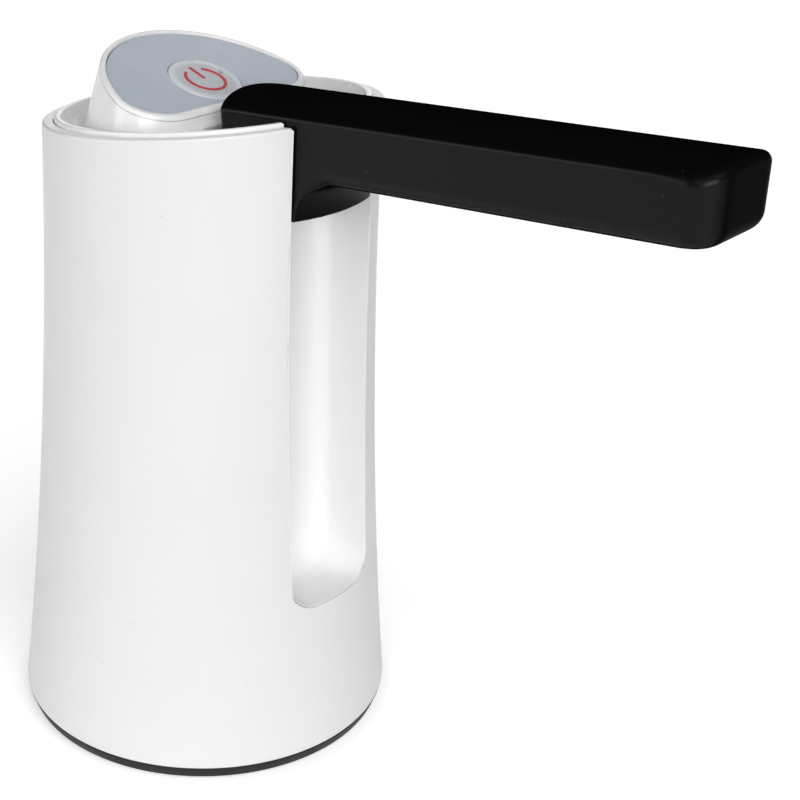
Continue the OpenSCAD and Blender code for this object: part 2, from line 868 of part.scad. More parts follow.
module arm_lower() {
    start = hollow_start + fit;
    rib_w = 1.2;
    rib_y = tube_od / 2 + rib_w;
    color([0.08, 0.08, 0.085])
        arm_frame()
            difference() {
                union() {
                    translate([0, 0, arm_under]) linear_extrude(cover_t) hollow_plan(fit);
                    for (side = [-1, 1])
                        translate([start + 2, side * rib_y - rib_w / 2, arm_under + cover_t - 0.2])
                            cube([outlet_u - 14 - start, rib_w, 1.8]);
                }
                translate([outlet_u, 0, -far])
                    cylinder(h = far + arm_over, r = outlet_d / 2 + outlet_wall + fit, $fn = 48);
            }
}

module spout_nozzle() {
    outer = outlet_d / 2 + outlet_wall;
    top = tube_w + tube_od / 2;
    color([0.12, 0.12, 0.125])
        arm_frame()
            difference() {
                union() {
                    translate([outlet_u, 0, arm_under])
                        cylinder(h = top - arm_under, r = outer, $fn = 48);
                    translate([outlet_u, 0, arm_under - flange_drop])
                        cylinder(h = flange_drop, r = outer + 1, $fn = 48);
                    translate([outlet_u - outer - barb_l, 0, tube_w])
                        along_x_bar(hose_id / 2 + 0.4, barb_l + outer);
                }
                translate([outlet_u, 0, -far]) cylinder(h = far + tube_w, r = outlet_d / 2, $fn = 48);
                translate([outlet_u - outer - barb_l - 1, 0, tube_w])
                    along_x_bar(hose_id / 2 - 0.6, barb_l + outer + 1);
            }
}

module arm_tube() {
    start = hollow_start + fit;
    stop = outlet_u - outlet_d / 2 - outlet_wall - fit;
    color([0.85, 0.86, 0.87])
        arm_frame()
            translate([start, 0, tube_w])
                difference() {
                    along_x_bar(tube_od / 2, stop - start);
                    translate([-1, 0, 0]) along_x_bar(hose_id / 2 + 0.4 + run, stop - start + 2);
                }
}

// Hinge

// Keeps a pin inside the shell and gives it a flat under the deck, so that it can't turn
module pin_room() {
    intersection() {
        rim_form(shell_wall + clear);
        union() {
            rim_frame() slab(-far, -deck_drop - deck_t - fit);
            translate([0, -slot_w / 2, 0]) cube([far, slot_w, far]);
        }
    }
}

module hinge_water_pin() {
    outer_end = hose_y + hose_od / 2;
    barb_low = hinge_z - pin_r - barb_l;
    color("gainsboro")
        intersection() {
            pin_room();
            difference() {
                union() {
                    translate([hinge_x, 0, hinge_z]) {
                        along_y(pin_r, -outer_end, -seal_in);
                        along_y(pin_head_r, -liner_half - fit - pin_head_t / 2, -liner_half - fit);
                    }
                    translate([hinge_x, -hose_y, barb_low])
                        cylinder(h = barb_l + 1, r = hose_id / 2 - run, $fn = 40);
                }
                translate([hinge_x, 0, hinge_z]) along_y(hose_id / 2, -hose_y - 1.3, -seal_in + 1);
                translate([hinge_x, -hose_y, barb_low - 1])
                    cylinder(h = barb_l + pin_r + 1.4, r = hose_id / 2 - 0.6, $fn = 40);
            }
        }
}

module hinge_plain_pin() {
    color("silver")
        intersection() {
            pin_room();
            translate([hinge_x, 0, hinge_z]) {
                along_y(pin_r, seal_in, liner_half + fit + pin_head_t);
                along_y(pin_head_r, liner_half + fit, liner_half + fit + pin_head_t);
            }
        }
}

module hinge_bushes() {
    color("goldenrod")
        arm_frame()
            for (side = [-1, 1])
                scale([1, side, 1])
                    difference() {
                        along_y(bush_r, bush_in, arm_half - fit);
                        along_y(pin_r + run, 0, far);
                    }
}

module hinge_o_ring() {
    thick = (bush_r - pin_r) / 2 - run;
    color([0.2, 0.2, 0.2])
        arm_frame()
            translate([0, -(bush_in + seal_in) / 2, 0]) rotate([90, 0, 0])
                rotate_extrude($fn = 64)
                    translate([(bush_r + pin_r) / 2, 0]) circle(r = thick, $fn = 32);
}

// Inside the body

module inner_frame() {
    foot = cup_top;
    ledge_t = 1.6;
    color([0.85, 0.87, 0.9])
        difference() {
            union() {
                intersection() {
                    translate([0, 0, plate_low]) cylinder(h = plate_t, r = frame_r, $fn = round_fn);
                    folded_frame() slab(-far, floor_w - liner_wall - clear);
                }
                for (p = post_spots)
                    translate([p[0], p[1], foot]) cylinder(h = plate_low - foot, r = post_r, $fn = 40);
                translate([cell_x, cell_y, plate_low]) cylinder(h = 12, r = cell_d / 2 + 1.4, $fn = 64);
                translate([charge_board_x + 2, -post_r, charge_board_low - ledge_t])
                    cube([post_spots[0][0] - charge_board_x - 2, 2 * post_r, ledge_t]);
            }
            translate([cell_x, cell_y, plate_low - 1]) cylinder(h = 20, r = cell_d / 2 + fit, $fn = 64);
            translate([motor_x, motor_y, plate_low - 1]) cylinder(h = plate_t + 2, r = 3.2, $fn = 48);
            for (a = [45 : 90 : 315])
                translate([pump_x, motor_y, 0]) rotate(a) translate([pump_screw_r, 0, 0])
                    cylinder(h = plate_z + 1, r = screw_r + fit, $fn = 32);
            for (p = post_spots)
                translate([p[0], p[1], foot - 1]) cylinder(h = 9, r = screw_r + fit, $fn = 32);
        }
}

module frame_screws() {
    color("silver")
        for (p = post_spots)
            translate([p[0], p[1], ceiling_z]) rotate([180, 0, 0]) screw(frame_screw_l);
}

module motor_can() {
    color("silver")
        translate([motor_x, motor_y, can_low])
            difference() {
                cylinder(h = motor_l, r = motor_d / 2, $fn = round_fn);
                translate([0, 0, can_wall])
                    cylinder(h = motor_l, r = motor_d / 2 - can_wall, $fn = round_fn);
                translate([0, 0, -1]) cylinder(h = 4, r = 2.6, $fn = 40);
            }
}

module motor_end_cap() {
    color([0.15, 0.15, 0.16])
        translate([motor_x, motor_y, can_top])
            difference() {
                union() {
                    cylinder(h = cap_t, r = motor_d / 2, $fn = round_fn);
                    translate([0, 0, -2])
                        cylinder(h = 2, r = motor_d / 2 - can_wall - fit, $fn = round_fn);
                    for (side = [-1, 1])
                        translate([side * 7 - 1.2, -0.3, cap_t]) cube([2.4, 0.6, 4]);
                }
                translate([0, 0, -3]) cylinder(h = cap_t + 2.2, r = 2.6, $fn = 40);
                translate([0, 0, -3]) cylinder(h = cap_t + 10, r = shaft_d / 2 + clear, $fn = 40);
            }
}

module motor_magnets() {
    outer = motor_d / 2 - can_wall - fit;
    color([0.35, 0.35, 0.36])
        translate([motor_x, motor_y, can_low + can_wall])
            for (turn = [0, 180])
                rotate(turn - 65) rotate_extrude(angle = 130, $fn = round_fn)
                    translate([outer - magnet_t, 2]) square([magnet_t, motor_l - 8]);
}

module motor_bushes() {
    color("goldenrod")
        translate([motor_x, motor_y, 0])
            for (low = [can_low, can_top - 1])
                translate([0, 0, low])
                    difference() {
                        cylinder(h = 2.2, r = 2.6 - run, $fn = 40);
                        translate([0, 0, -1]) cylinder(h = 5, r = shaft_d / 2 + run, $fn = 40);
                    }
}

// Three-pole armature with the commutator above it
module rotor_core() {
    low = can_low + can_wall + rotor_margin;
    high = can_top - rotor_margin - 4;
    color([0.45, 0.42, 0.4])
        translate([motor_x, motor_y, 0])
            difference() {
                union() {
                    translate([0, 0, low]) linear_extrude(high - low) {
                        circle(r = rotor_r * 0.45, $fn = 48);
                        for (a = [0, 120, 240])
                            rotate(a) {
                                translate([0, -1.1]) square([rotor_r * 0.9, 2.2]);
                                intersection() {
                                    difference() {
                                        circle(r = rotor_r, $fn = round_fn);
                                        circle(r = rotor_r - 1.8, $fn = round_fn);
                                    }
                                    polygon([[0, 0], [far, far * tan(52)], [far, -far * tan(52)]]);
                                }
                            }
                    }
                    translate([0, 0, high]) cylinder(h = 4, r = 2.4, $fn = 48);
                }
                translate([0, 0, low - 1])
                    cylinder(h = high - low + 8, r = shaft_d / 2 + fit / 2, $fn = 40);
            }
}

module motor_shaft() {
    low = gear_low + 0.3;
    color("silver")
        translate([motor_x, motor_y, low]) cylinder(h = can_top + 1.6 - low, r = shaft_d / 2, $fn = 40);
}

module pump_body() {
    pocket = gear_tip_r + 1.6 * run;
    color([0.2, 0.2, 0.22])
        difference() {
            union() {
                translate([pump_x, motor_y, pump_low])
                    cylinder(h = pump_h, r = pump_d / 2, $fn = round_fn);
                translate([pump_x, -hose_y, outlet_z]) {
                    along_x_bar(hose_id / 2 + 1.6, pump_d / 2 + 0.5);
                    along_x_bar(hose_id / 2 - run, pump_d / 2 + pump_barb_l);
                }
            }
            for (x = [motor_x, motor_x + idler_dx])
                translate([x, motor_y, pump_low - 1])
                    cylinder(h = gear_t + 1 + 2 * fit, r = pocket, $fn = 64);
            translate([motor_x, motor_y, pump_low])
                cylinder(h = pump_h - seal_t, r = shaft_d / 2 + clear, $fn = 40);
            translate([motor_x, motor_y, pump_top - seal_t]) cylinder(h = seal_t + 1, r = 3.2, $fn = 48);
            translate([motor_x + idler_dx, motor_y, pump_low])
                cylinder(h = gear_t + 1.2, r = 1, $fn = 32);
            translate([pump_x, -hose_y, outlet_z]) along_x_bar(hose_id / 2 - 0.6, far);
            translate([pump_x, -hose_y, pump_low])
                cylinder(h = outlet_z - pump_low, r = hose_id / 2 - 0.6, $fn = 40);
            for (a = [45 : 90 : 315])
                translate([pump_x, motor_y, 0]) rotate(a) translate([pump_screw_r, 0, 0])
                    cylinder(h = far, r = screw_r + fit, $fn = 32);
        }
}

module pump_cover() {
    color([0.25, 0.25, 0.27])
        translate([0, 0, lid_low])
            difference() {
                translate([pump_x, motor_y, 0]) cylinder(h = lid_t, r = pump_d / 2, $fn = round_fn);
                translate([nipple_x, nipple_y, -1]) cylinder(h = lid_t + 2, r = nipple_bore, $fn = 40);
                translate([motor_x + idler_dx, motor_y, lid_t - 2]) cylinder(h = 3, r = 1, $fn = 32);
                for (a = [45 : 90 : 315])
                    translate([pump_x, motor_y, -1]) rotate(a) translate([pump_screw_r, 0, 0])
                        cylinder(h = lid_t + 2, r = screw_r + fit, $fn = 32);
            }
}

module pump_screws() {
    color("silver")
        for (a = [45 : 90 : 315])
            translate([pump_x, motor_y, lid_low]) rotate(a) translate([pump_screw_r, 0, 0])
                rotate([180, 0, 0]) screw(lid_t + pump_h + plate_t - 0.3);
}

module drive_gear() {
    color([0.9, 0.88, 0.8])
        translate([motor_x, motor_y, gear_low])
            difference() {
                linear_extrude(gear_t) gear_outline();
                translate([0, 0, 0.3]) cylinder(h = gear_t + 1, r = shaft_d / 2 + fit / 2, $fn = 40);
            }
}

module idler_gear() {
    half_pitch = gear_teeth % 2 == 0 ? 180 / gear_teeth : 0;
    color([0.9, 0.88, 0.8])
        translate([motor_x + idler_dx, motor_y, gear_low])
            difference() {
                rotate(half_pitch) linear_extrude(gear_t) gear_outline();
                translate([0, 0, -1]) cylinder(h = gear_t + 2, r = 1 + run, $fn = 40);
            }
}

module idler_pin() {
    color("silver")
        translate([motor_x + idler_dx, motor_y, pump_low - 1.9])
            cylinder(h = gear_t + 3, r = 1 - run / 2, $fn = 40);
}

module shaft_seal() {
    color([0.25, 0.25, 0.26])
        translate([motor_x, motor_y, pump_top - seal_t])
            difference() {
                cylinder(h = seal_t, r = 3.2 - run, $fn = 48);
                translate([0, 0, -1]) cylinder(h = seal_t + 2, r = shaft_d / 2 + run, $fn = 40);
            }
}

// Hose from the pump outlet, round one bend and up to the hinge pin
module outlet_hose() {
    start = pump_x + pump_d / 2 + 0.6;
    top = hinge_z - pin_head_r - fit;
    bend_x = hinge_x - hose_bend;
    color([0.86, 0.87, 0.88])
        difference() {
            hose_run(hose_od / 2, start, bend_x, top, 0);
            hose_run(hose_id / 2, start, bend_x, top, 1);
        }
}

// Level stretch, quarter bend and upright stretch of the hose, longer at the ends by extra
module hose_run(radius, start, bend_x, top, extra) {
    translate([start - extra, -hose_y, outlet_z]) along_x_bar(radius, bend_x - start + extra);
    translate([bend_x, -hose_y, outlet_z + hose_bend]) rotate([90, 0, 0])
        rotate(-90) rotate_extrude(angle = 90, $fn = 64)
            translate([hose_bend, 0]) circle(r = radius, $fn = 40);
    translate([hinge_x, -hose_y, outlet_z + hose_bend])
        cylinder(h = top - outlet_z - hose_bend + extra, r = radius, $fn = 40);
}

module battery_cell() {
    color([0.2, 0.45, 0.7])
        translate([cell_x, cell_y, cell_low]) {
            cylinder(h = cell_l - 1, r = cell_d / 2, $fn = 64);
            translate([0, 0, cell_l - 1]) cylinder(h = 1, r = 3, $fn = 40);
        }
}

module battery_pad() {
    color([0.3, 0.3, 0.3])
        translate([cell_x, cell_y, cup_top]) cylinder(h = cell_low - cup_top, r = cell_d / 2, $fn = 64);
}

module charge_board() {
    color([0.1, 0.4, 0.25])
        translate([charge_board_x, -charge_board_w / 2, charge_board_low])
            cube([charge_board_l, charge_board_w, charge_board_t]);
}

module charge_socket() {
    tongue_w = 0.72 * port_w;
    tongue_t = 0.7;
    color("silver")
        translate([port_x, 0, port_z]) {
            difference() {
                along_x(port_depth) port_outline(port_w / 2, port_h / 2);
                translate([-1, 0, 0]) along_x(port_depth)
                    port_outline(port_w / 2 - port_wall, port_h / 2 - port_wall);
            }
            translate([1.2, 0, 0]) along_x(port_depth - 1.7) square([tongue_w, tongue_t], center = true);
        }
}

outer_shell();
base_ring();
base_cup();
neck_gasket();
inlet_nipple();
nipple_grommet();
channel_liner();
top_cover();
panel_lens();
power_button();
power_icon();
led_window();
tact_switch();
control_board();
board_screws();
arm_upper();
arm_lower();
spout_nozzle();
arm_tube();
hinge_water_pin();
hinge_plain_pin();
hinge_bushes();
hinge_o_ring();
inner_frame();
frame_screws();
base_screws();
motor_can();
motor_end_cap();
motor_magnets();
motor_bushes();
rotor_core();
motor_shaft();
pump_body();
pump_cover();
pump_screws();
drive_gear();
idler_gear();
idler_pin();
shaft_seal();
outlet_hose();
battery_cell();
battery_pad();
charge_board();
charge_socket();
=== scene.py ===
"""Looks of an electric water jug pump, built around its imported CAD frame.

The object is in millimetres in this file, and goes to metres where a mesh is made.
Materials and the floor are in metres.
The frame's origin is the centre of the foot on the table, +X lies along the open arm and +Z is up.
Moulded pieces are written as signed distances, so that every edge and corner gets its moulding radius.
"""
import json
import math

import bpy
import numpy as np
from mathutils import Matrix, Vector

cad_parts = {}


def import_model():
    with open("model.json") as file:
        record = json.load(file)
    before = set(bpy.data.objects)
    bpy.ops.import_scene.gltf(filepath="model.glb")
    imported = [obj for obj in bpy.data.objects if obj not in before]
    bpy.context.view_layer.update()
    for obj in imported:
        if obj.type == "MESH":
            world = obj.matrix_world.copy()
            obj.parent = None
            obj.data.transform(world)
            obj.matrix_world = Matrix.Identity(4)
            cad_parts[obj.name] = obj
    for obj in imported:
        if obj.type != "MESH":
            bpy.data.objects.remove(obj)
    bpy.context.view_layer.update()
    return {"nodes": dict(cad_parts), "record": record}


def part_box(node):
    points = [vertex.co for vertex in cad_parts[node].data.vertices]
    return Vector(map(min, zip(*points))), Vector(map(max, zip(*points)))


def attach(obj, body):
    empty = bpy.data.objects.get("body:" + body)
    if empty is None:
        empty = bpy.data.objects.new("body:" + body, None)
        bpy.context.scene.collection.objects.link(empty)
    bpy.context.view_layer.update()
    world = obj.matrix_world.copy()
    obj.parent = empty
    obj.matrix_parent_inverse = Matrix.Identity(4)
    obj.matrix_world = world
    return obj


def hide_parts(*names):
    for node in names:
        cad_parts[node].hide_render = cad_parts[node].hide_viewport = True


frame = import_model()

MM = 0.001


def node_box(name):
    """Lowest and highest corner of a CAD node, in millimetres."""
    low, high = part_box(name)
    return np.array(low) / MM, np.array(high) / MM


joints = {j["name"]: j for j in frame["record"]["behaviour"]["joints"]}

# Body
_, ring_high = node_box("base_ring")
BASE_R = ring_high[0]
RING_H = ring_high[2]
RING_INNER_R = 30.6
RING_INSET = 1.0
RIM_R = 33.2
RIM_TILT = math.radians(8.5)
SHELL_WALL = 2.2
FIT = 0.1

# Hinge and arm
HINGE_X, _, HINGE_Z = (v / MM for v in joints["arm_fold"]["pos_m"])
HINGE_DROP = 2.6
RIM_Z = HINGE_Z + HINGE_DROP
ARM_RISE = math.radians(5.9)
FOLD_TURN = math.radians(joints["arm_fold"]["range_deg"][1]) - ARM_RISE
ARM_REACH = 93.4
ARM_HALF = 11.25
ARM_TAPER = 0.15
ARM_OVER = 8.1
ARM_UNDER = -4.2
CROWN_R = 34.0
CROWN_W = ARM_OVER + CROWN_R - math.sqrt(CROWN_R ** 2 - ARM_HALF ** 2)
TIP_LEAN = math.radians(5.4)
TIP_CORNER = 5.8
LOWER_CORNER = 3.5
TOP_EDGE = 0.7
TIP_TOP_EDGE = 1.8
APRON_CORNER = 0.3
KNUCKLE_BACK = 13.8
KNUCKLE_END_R = 20.0
BARREL_R = 7.8
APRON_DROP = 10.9
APRON_Z = HINGE_Z - APRON_DROP
APRON_T = 2.6
ROOT_FILLET = 8.0
COVE_R = RIM_R + ROOT_FILLET
UNDER_COVE = (COVE_R - HINGE_X) * math.tan(ARM_RISE)
COVE_Z = HINGE_Z + UNDER_COVE + ARM_UNDER / math.cos(ARM_RISE) - ROOT_FILLET
ARM_WALL = 2.6
ARM_ROOF = 1.6
ROOT_WALL = 1.2
CORNER_WALL = 1.3
HOLLOW_START = COVE_R - HINGE_X + ROOT_WALL
HOLLOW_END = ARM_REACH - (ARM_OVER - ARM_UNDER) * math.tan(TIP_LEAN) - ARM_WALL
HOLLOW_HALF = ARM_HALF - ARM_TAPER - ARM_WALL
HOLLOW_TOP = ARM_OVER - ARM_ROOF
HOLLOW_CORNER = TIP_CORNER - CORNER_WALL
PIN_R = 3.0
BUSH_R = 4.55
BUSH_IN = 4.8

# Channel
SLOT_HALF = 11.6
LIP_Z = 36.2
LIP_CORNER = 5.6
LINER_WALL = 1.4
FLOOR_GAP = 1.0
FLOOR_W = ARM_UNDER - FLOOR_GAP
CHANNEL_FILLET = 3.0
CAVITY_R = 15.0
SEAM = 0.02
LOWER_SEAM = 0.1
SLEEVE = 0.32

# Top
DECK_DROP = 2.0
DECK_T = 1.6
LIP_T = 1.3
LIP_UP = 0.8
PANEL_RISE = 4.4
PANEL_Z = RIM_Z + PANEL_RISE
PANEL_TILT = math.radians(17)
TURRET_X = 1.8
TURRET_R = 24.2
TURRET_TAPER = math.radians(14.5)
TURRET_FLAT = 6.3
TURRET_CORNER = 8.4
TURRET_WALL = 2.0
LENS_BORDER = 1.2
LENS_INSET = 0.35
LENS_T = 1.8
SEAT_DEPTH = LENS_INSET + LENS_T
SEAT_T = 1.8
KEY_U = -2.4
KEY_R = 7.2
KEY_HOLE_R = 7.5
KEY_GAP = 0.07
FLANGE_GAP = 0.3
FLANGE_TOP = SEAT_DEPTH + SEAT_T + FLANGE_GAP
FLANGE_T = 0.8
FLANGE_W = 1.1
FLANGE_R = KEY_R + FLANGE_W
STEM_R = 1.3
STEM_L = 2.2
BOSS_SPOTS = ((-9.5, -10.5), (-9.5, 10.5), (1, -14), (1, 14))
BOSS_R = 2.4
BOARD_DEPTH = 9.55

# Charging port
PORT_Z = 44.0
PORT_HALF_W = 4.9
PORT_HALF_H = 2.05
PORT_CORNER = 1.6

# Camera, fitted to the photograph
CAMERA_AZIMUTH = math.radians(36.689)
CAMERA_ELEVATION = math.radians(25.078)
CAMERA_ROLL = math.radians(3.696)
CAMERA_PLACE = (226.046, -236.338, 223.194)
SENSOR = 36.0
LENS_MM = 76.362


# Signed distances: negative inside

def round_max(a, b, r):
    """Both shapes at once, with an edge of radius r between them."""
    corner = np.hypot(np.maximum(a + r, 0), np.maximum(b + r, 0))
    return np.minimum(np.maximum(a, b), -r) + corner


def round_min(a, b, r):
    """Either shape, with a fillet of radius r between them."""
    corner = np.hypot(np.maximum(r - a, 0), np.maximum(r - b, 0))
    return np.maximum(np.minimum(a, b), r) - corner


def ease(value, start, stop):
    """Smooth rise from 0 at start to 1 at stop."""
    t = np.clip((value - start) / (stop - start), 0, 1)
    return t * t * (3 - 2 * t)


FLARE = BASE_R - RIM_R
FLARE_R = ((RIM_Z - RING_H) ** 2 + FLARE ** 2) / (2 * FLARE)


def body_form(x, y, z, inset):
    """The body's flared outside, drawn in by inset."""
    return FLARE_R + inset - np.hypot(np.hypot(x, y) - RIM_R - FLARE_R, z - RIM_Z)


def above_rim(x, z):
    """Height over the slanted rim plane."""
    return (z - RIM_Z) * math.cos(RIM_TILT) - x * math.sin(RIM_TILT)


def above_panel(x, z):
    """Height over the sloping control panel."""
    return (z - PANEL_Z) * math.cos(PANEL_TILT) + x * math.sin(PANEL_TILT)


def along_panel(x, z):
    """Distance down the panel's slope from the body axis."""
    return x * math.cos(PANEL_TILT) - (z - PANEL_Z) * math.sin(PANEL_TILT)


def arm_place(x, z):
    """Place along the open arm and above its hinge axis."""
    dx, dz = x - HINGE_X, z - HINGE_Z
    c, s = math.cos(ARM_RISE), math.sin(ARM_RISE)
    return dx * c + dz * s, dz * c - dx * s


def channel_place(x, z):
    """Place down the channel from the hinge and out of its floor."""
    dx, dz = x - HINGE_X, z - HINGE_Z
    c, s = math.cos(FOLD_TURN), math.sin(FOLD_TURN)
    return dx * c - dz * s, dx * s + dz * c


def slot_form(y, z, grow):
    """Outline of the slot in the shell's front, widened by grow."""
    return round_max(np.abs(y) - SLOT_HALF, LIP_Z - z, LIP_CORNER) - grow


def shell_form(x, y, z):
    """Outer housing: flared wall, slanted rim, front slot and charging port."""
    rim_edge, slot_edge, foot_edge, inner_edge = 0.6, 0.04, 0.3, 0.12
    wide_to, narrow_from = LIP_Z + 1, LIP_Z + 4
    f = round_max(body_form(x, y, z, 0), above_rim(x, z), rim_edge)
    f = round_max(f, RING_H - z, foot_edge)
    seam = SEAM + (LOWER_SEAM - SEAM) * (1 - ease(z, wide_to, narrow_from))
    f = round_max(f, -np.maximum(slot_form(y, z, SLEEVE + seam), -x), slot_edge)
    port = round_max(np.abs(y) - PORT_HALF_W, np.abs(z - PORT_Z) - PORT_HALF_H, PORT_CORNER)
    f = round_max(f, -np.maximum(port, x), foot_edge)
    return round_max(f, -body_form(x, y, z, SHELL_WALL), inner_edge)


def channel_hollow(x, y, z):
    """Room for the folded arm, with rounded inner corners and a scooped lower end."""
    _, w = channel_place(x, z)
    f = round_max(np.abs(y) - SLOT_HALF, FLOOR_W - w, CHANNEL_FILLET)
    return round_max(f, LIP_Z - z, LIP_CORNER)


# A small moulding mark low in the channel
MARK_DOWN, MARK_Y, MARK_R, MARK_DEEP = 83.0, -4.2, 1.0, 0.35


def liner_form(x, y, z):
    """Channel set in the slot, with the round cavity that the knuckle turns in."""
    sleeve_edge, sleeve_inset, sleeve_drop = 0.22, 0.01, 0.3
    mark_edge, mark_reach = 0.25, 1
    u, w = channel_place(x, z)
    turn = np.hypot(x - HINGE_X, z - HINGE_Z)
    f = np.maximum(body_form(x, y, z, SHELL_WALL + SEAM), np.abs(y) - SLOT_HALF - LINER_WALL)
    f = np.maximum(f, LIP_Z - LINER_WALL - z)
    f = np.maximum(f, np.minimum(FLOOR_W - LINER_WALL - w, turn - CAVITY_R - LINER_WALL))
    f = np.maximum(f, above_rim(x, z) + DECK_DROP + DECK_T + FIT)
    f = np.maximum(f, -np.maximum(turn - CAVITY_R, np.abs(y) - SLOT_HALF))
    sleeve = np.maximum(slot_form(y, z, SLEEVE), body_form(x, y, z, sleeve_inset))
    sleeve = np.maximum(sleeve, -body_form(x, y, z, SHELL_WALL + LINER_WALL))
    sleeve = np.maximum(sleeve, np.maximum(above_rim(x, z) + sleeve_drop, -x))
    f = round_max(np.minimum(f, sleeve), -channel_hollow(x, y, z), sleeve_edge)
    mark = np.maximum(np.hypot(u - MARK_DOWN, y - MARK_Y) - MARK_R, w - FLOOR_W - mark_reach)
    f = round_max(f, -np.maximum(mark, FLOOR_W - MARK_DEEP - w), mark_edge)
    pin = np.minimum(turn, np.maximum(np.abs(x - HINGE_X), HINGE_Z - z)) - PIN_R - FIT / 2
    return np.maximum(f, -pin)


def arm_plan(u, y, w):
    """The arm from above: straight sides, a leaning round-cornered tip and a round back."""
    rear_edge = 0.6
    taper = ARM_TAPER * np.clip((u - HOLLOW_START) / (ARM_REACH - HOLLOW_START), 0, 1)
    tip = (u - ARM_REACH - (w - ARM_OVER) * math.tan(TIP_LEAN)) * math.cos(TIP_LEAN)
    plan = round_max(np.abs(y) - ARM_HALF + taper, tip, TIP_CORNER)
    rear = np.hypot(np.minimum(u - KNUCKLE_END_R + KNUCKLE_BACK, 0), y) - KNUCKLE_END_R
    return round_max(plan, rear, rear_edge)


def arm_form(x, y, z):
    """Spout arm: crowned bar, coved root, apron flush with the body and hinge barrel."""
    apron_edge, inner_edge, barrel_inset = 0.5, 0.3, 0.3
    u, w = arm_place(x, z)
    around = np.hypot(x, y)
    turn = np.hypot(x - HINGE_X, z - HINGE_Z)
    cove = ROOT_FILLET - np.hypot(around - COVE_R, z - COVE_Z)
    cove = np.maximum(cove, np.maximum(around - COVE_R, COVE_Z - z))
    apron = round_max(around - RIM_R, APRON_Z - z, apron_edge)
    under = np.minimum(ARM_UNDER - w, np.minimum(cove, apron))
    lower_edge = APRON_CORNER + (LOWER_CORNER - APRON_CORNER) * ease(around, RIM_R, COVE_R)
    f = round_max(arm_plan(u, y, w), under, lower_edge)
    behind = np.maximum(around - RIM_R + APRON_T, w - ARM_UNDER)
    f = round_max(f, -behind, inner_edge)
    crown = np.hypot(y, w - CROWN_W + CROWN_R) - CROWN_R
    soft_from, soft_to = ARM_REACH - 13, ARM_REACH - 3
    f = round_max(f, crown, TOP_EDGE + (TIP_TOP_EDGE - TOP_EDGE) * ease(u, soft_from, soft_to))
    barrel = np.maximum(turn - BARREL_R, np.abs(y) - ARM_HALF + barrel_inset)
    f = np.minimum(f, barrel)
    hollow = round_max(u - HOLLOW_END, np.abs(y) - HOLLOW_HALF, HOLLOW_CORNER)
    f = np.maximum(f, -np.maximum(np.maximum(hollow, HOLLOW_START - u), w - HOLLOW_TOP))
    return np.maximum(f, -np.maximum(turn - BUSH_R - FIT / 2, BUSH_IN - np.abs(y)))


def turret_form(x, y, z, inset):
    """Tapered turret with one flat face and two round corners."""
    least_corner = 1.0
    grow = (PANEL_Z - z) * math.tan(TURRET_TAPER) - inset
    lean = math.cos(TURRET_TAPER)
    cone = (np.hypot(x - TURRET_X, y) - TURRET_R - grow) * lean
    flat = (x - TURRET_FLAT - grow) * lean
    return round_max(cone, flat, np.maximum(TURRET_CORNER + grow, least_corner) * lean)


def key_radius(x, y, z):
    """Distance from the key's axis."""
    return np.hypot(along_panel(x, z) - KEY_U, y)


def cover_form(x, y, z):
    """Top cover: deck with a low rim lip, turret, lens seat and board pillars."""
    lip_edge, top_edge, seat_edge, lip_fillet, foot_fillet = 0.35, 0.5, 0.2, 0.35, 1.6
    boss_root = 1
    over = above_rim(x, z)
    panel = above_panel(x, z)
    disc = np.hypot(x, y) - RIM_R + SHELL_WALL + FIT
    deck = np.maximum(disc, np.maximum(over + DECK_DROP, -over - DECK_DROP - DECK_T))
    lip = round_max(disc, -disc - LIP_T, lip_edge)
    lip = round_max(lip, np.maximum(over - LIP_UP, -over - DECK_DROP - DECK_T / 2), lip_edge)
    turret = round_max(turret_form(x, y, z, 0), panel, top_edge)
    recess = np.maximum(turret_form(x, y, z, LENS_BORDER), -panel - SEAT_DEPTH)
    turret = round_max(turret, -recess, seat_edge)
    turret = np.maximum(turret, -over - DECK_DROP - DECK_T)
    f = round_min(round_min(deck, turret, foot_fillet), lip, lip_fillet)
    f = np.maximum(f, -over - DECK_DROP - DECK_T)
    under_seat = SEAT_DEPTH + SEAT_T
    f = np.maximum(f, -np.maximum(turret_form(x, y, z, TURRET_WALL), panel + under_seat))
    f = np.maximum(f, KEY_HOLE_R - key_radius(x, y, z))
    f = round_max(f, -np.maximum(np.abs(y) - SLOT_HALF, HINGE_X - CAVITY_R - x), seat_edge)
    along = along_panel(x, z)
    boss_height = np.maximum(-panel - BOARD_DEPTH, panel + SEAT_DEPTH + boss_root)
    for u, v in BOSS_SPOTS:
        boss = np.hypot(along - u, y - v) - BOSS_R
        f = np.minimum(f, np.maximum(boss, boss_height))
    return f


def lens_form(x, y, z):
    """Flat panel window with softened edges and the key's hole."""
    edge = 0.25
    panel = above_panel(x, z)
    f = round_max(turret_form(x, y, z, LENS_BORDER + FIT), panel + LENS_INSET, edge)
    f = np.maximum(f, -panel - SEAT_DEPTH)
    return round_max(f, KEY_HOLE_R - key_radius(x, y, z), edge)


def key_form(x, y, z):
    """Round key with a soft edge, the flange that keeps it in and the stem that works the switch."""
    edge = 0.3
    panel = above_panel(x, z)
    around = key_radius(x, y, z)
    cap = round_max(around - KEY_HOLE_R + KEY_GAP, panel + LENS_INSET, edge)
    cap = np.maximum(cap, -panel - FLANGE_TOP - FLANGE_T / 2)
    below = panel + FLANGE_TOP
    flange = np.maximum(around - FLANGE_R, np.maximum(below, -panel - FLANGE_TOP - FLANGE_T))
    stem = np.maximum(around - STEM_R, np.maximum(below, -panel - FLANGE_TOP - FLANGE_T - STEM_L))
    return np.minimum(np.minimum(cap, flange), stem)


# Meshes

